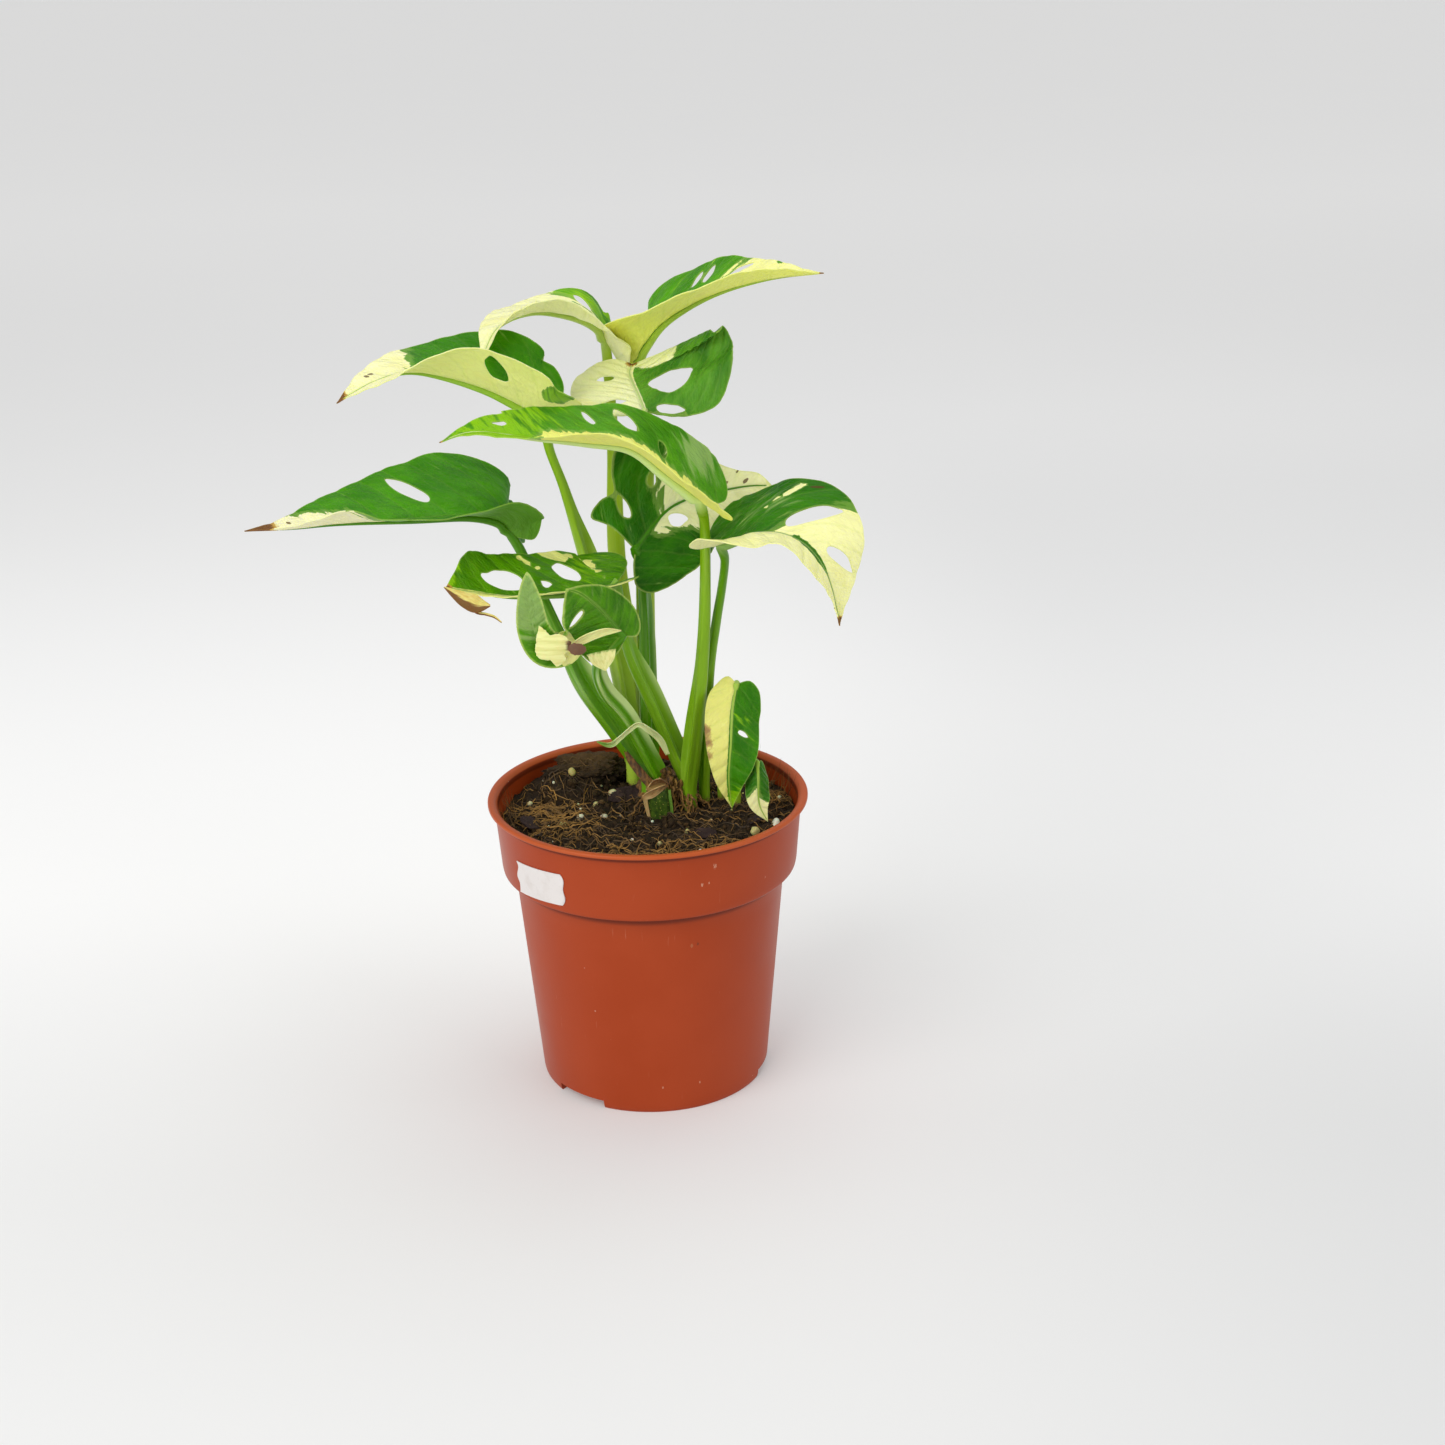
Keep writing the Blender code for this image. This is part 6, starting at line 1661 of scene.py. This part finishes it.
def make_stub():
    """The cut petiole with the papery flaps at its top."""
    stub = Piece()
    shares = np.linspace(0, 1, STUB_RINGS)
    angle = around(BARK_SIDES)
    flatten = np.sqrt(np.cos(angle) ** 2 + (0.65 * np.sin(angle)) ** 2)
    rings = at_share(STUB_RADII, shares)[:, None] * flatten[None] * (1 + 0.05 * np.sin(angle * 6))[None]
    points, faces = sweep(spline(STUB_PATH, shares), (1, 0, 0), rings)
    level = np.repeat(shares, BARK_SIDES)
    place = np.stack([level * 20, np.tile(angle * 4, STUB_RINGS), np.zeros(len(level))], 1)
    stub.add(points, faces, 0, with_ends(place), dry=np.clip((with_ends(level) - 0.8) * 4, 0, 1))
    for points, widths, across, first, more in STUB_FLAPS:
        stub.strip((points, widths, across), 1, cup=0.12, dry=lambda share, _: first + more * share)
    stub.strip(STUB_EDGE, 1, lime=lambda share, _: 0.9)
    materials = [stub_material(), papery_material("stub_flap", STUB_PAPER)]
    stub.finish("cut_petiole_fine", materials, ["cut_petiole"])


def make_sheath():
    """The dried sheath that lies across the petioles."""
    sheath = Piece()
    sheath.strip(SHEATH, cup=0.25, lime=lambda share, _: np.clip(1.0 - share * 3.2, 0, 1))
    sheath.finish("dried_sheath", [papery_material("sheath_paper", SHEATH_PAPER)], [], "leaf_large_left")


def stub_material():
    """The skin of the cut petiole: dark green with yellow specks, tan at its end."""
    tree = Tree("stub_skin", Roughness=0.45, Specular_IOR_Level=0.3)
    place = tree.attribute("veins", "Vector")
    mottle = tree.noise(place, 0.5, 4.0)
    deep, green, yellow, tan = STUB_TONES
    cells = tree.add("TexVoronoi", {"Vector": place, "Scale": 0.9}, "Distance")
    colour = tree.stepped(deep, (mottle, 0.35, 0.7, 1.0, green))
    colour = tree.mix(tree.step(cells, 0.12, 0.2, 0.8, 0.0), colour, yellow)
    colour = tree.stepped(colour, (tree.varied(tree.attribute("dry"), mottle, 0.8), 0.3, 0.7, 1.0, tan))
    return tree.finish(colour, mottle, 0.4, 0.0006)


def torn_sheet(outline, depth, cup, seed):
    """A thin torn scrap: an outline of (x, z) at a depth, bent a little."""
    loop, _ = even_curve(list(outline) + [outline[0]], 5 * len(outline))
    loop = loop[:-1] + np.random.default_rng(seed).normal(0, 0.12, (len(loop) - 1, 2))
    turn = np.roll(loop, -1, 0) - loop
    if (loop[:, 0] * turn[:, 1] - loop[:, 1] * turn[:, 0]).sum() < 0:
        loop = loop[::-1]
    flat, triangles, _ = plan_mesh(loop, [], [], 0.9)
    middle = flat.mean(0)
    away = flat - middle
    bend = cup * (away ** 2).sum(1) + 0.35 * rough(flat, 0.45, seed)
    points = np.stack([flat[:, 0], depth + bend, flat[:, 1]], 1)
    points, faces = thick_sheet(points, triangles, SCRAP_THICKNESS)
    place = np.stack([away[:, 0] * 0.6, away[:, 1] * 0.6, np.full(len(flat), seed)], 1)
    return points, faces, np.tile(place, (2, 1)), np.tile(away, (2, 1))


def make_scraps():
    """The pale folds and the torn, partly brown scrap of the twisted leaf."""
    piece = Piece()
    points, faces, place, away = torn_sheet(TORN_FOLD, -43.8, 0.03, 5)
    brown = 0.9 * np.exp(-((away[:, 0] - 6.5) ** 2 + (away[:, 1] - 0.4) ** 2) / 6)
    piece.add(points, faces, 0, place, dry=brown)
    points, faces, place, _ = torn_sheet(BROWN_BIT, -44.6, 0.1, 6)
    piece.add(points, faces, 0, place, dry=1.2)
    piece.strip(CURLED_STRIP, 0, SCRAP_THICKNESS, 0.15)
    piece.strip(HANGING_FOLD, 0, SCRAP_THICKNESS, 0.1, lime=lambda share, _: 0.6 - 2.0 * share)
    piece.finish("twisted_leaf_folds", [papery_material("torn_cream", TORN_PAPER)], [], "leaf_twisted")


def make_dried_tip():
    """The curled brown tip that hangs from the low left leaf."""
    def browned(share, offset):
        return 1.1 - 2.6 * np.clip(offset + 0.3, 0, 0.8) + 1.2 * np.clip(0.3 - share, 0, 1)

    piece = Piece()
    for path in DRIED_TIP:
        piece.strip(path, cup=0.25, dry=browned)
    piece.finish("dried_tip", [papery_material("dry_tip", TIP_PAPER)], [], "leaf_low_left")


def make_stage():
    """Pale floor with a painted glow, soft light and the camera."""
    scene = bpy.context.scene
    scene.view_settings.view_transform = "Standard"
    scene.view_settings.look = "None"
    mesh = bpy.data.meshes.new("floor")
    corners = [(x * FLOOR_REACH, y * FLOOR_REACH, 0) for x, y in ((-1, -1), (1, -1), (1, 1), (-1, 1))]
    mesh.from_pydata(corners, [], [(0, 1, 2, 3)])
    floor = bpy.data.objects.new("floor", mesh)
    scene.collection.objects.link(floor)
    tree = Tree("floor_paper", Roughness=0.8, Specular_IOR_Level=0.1)
    place = tree.place()
    tree.put(tree.shader, "Base Color", tree.mix(tree.noise(place, 3.0, 4.0), *FLOOR_TONES))
    # Painted light: the floor glows, by different amounts from front to back and less towards the right, in
    # place of light falling on it
    behind = tree.part(place, "Y")
    beside = tree.part(place, "X")
    painted_dim = tree.math("MULTIPLY", tree.step(beside, 0.0, 0.3, 0.0, -0.09),
                    tree.step(behind, 0.5, 1.2, 1.0, 0.0))
    painted_glow = tree.math("ADD", tree.step(behind, -0.1, 0.2, 0.1, 0.26), tree.step(behind, 0.3, 0.9, 0.0, -0.06))
    painted_glow = tree.math("ADD", tree.math("ADD", painted_glow, painted_dim), tree.step(behind, 0.7, 2.8, 0.0, 0.13))
    # The painted glow of the floor
    tree.put(tree.shader, "Emission Color", (1.0, 0.99, 0.97))
    tree.put(tree.shader, "Emission Strength", painted_glow)
    mesh.materials.append(tree.material)

    world = bpy.data.worlds.new("studio")
    world.use_nodes = True
    background = world.node_tree.nodes["Background"]
    background.inputs["Color"].default_value = STUDIO_COLOUR
    background.inputs["Strength"].default_value = STUDIO_STRENGTH
    scene.world = world
    for name, spot, size, power, colour in LIGHTS:
        data = bpy.data.lights.new(name, "AREA")
        data.shape = "SQUARE"
        data.size = size
        data.energy = power
        data.color = colour
        lamp = bpy.data.objects.new(name, data)
        lamp.location = spot
        aim = LIGHT_AIM - Vector(spot)
        lamp.rotation_euler = aim.to_track_quat("-Z", "Y").to_euler()
        scene.collection.objects.link(lamp)

    yaw, pitch, roll = CAMERA_YAW, CAMERA_PITCH, CAMERA_ROLL
    forward = Vector((math.sin(yaw) * math.cos(pitch), math.cos(yaw) * math.cos(pitch), -math.sin(pitch)))
    level = Vector((math.cos(yaw), -math.sin(yaw), 0.0))
    upright = level.cross(forward)
    right = level * math.cos(roll) + upright * math.sin(roll)
    top = upright * math.cos(roll) - level * math.sin(roll)
    data = bpy.data.cameras.new("camera")
    data.lens = LENS
    data.sensor_width = SENSOR
    data.clip_start = 0.01
    data.clip_end = 60.0
    camera = bpy.data.objects.new("camera", data)
    pose = Matrix((right, top, -forward)).transposed().to_4x4()
    pose.translation = Vector(EYE)
    camera.matrix_world = pose
    scene.collection.objects.link(camera)
    scene.camera = camera


make_stage()
make_pot()
make_label()
make_soil()
make_crumbs(np.random.default_rng(4))
make_pellets(np.random.default_rng(5))
make_fibres(np.random.default_rng(6))
make_stem(np.random.default_rng(7))
make_stub()
make_sheath()
make_dried_tip()
make_scraps()
for number, leaf in enumerate(LEAVES):
    make_leaf(number, leaf)
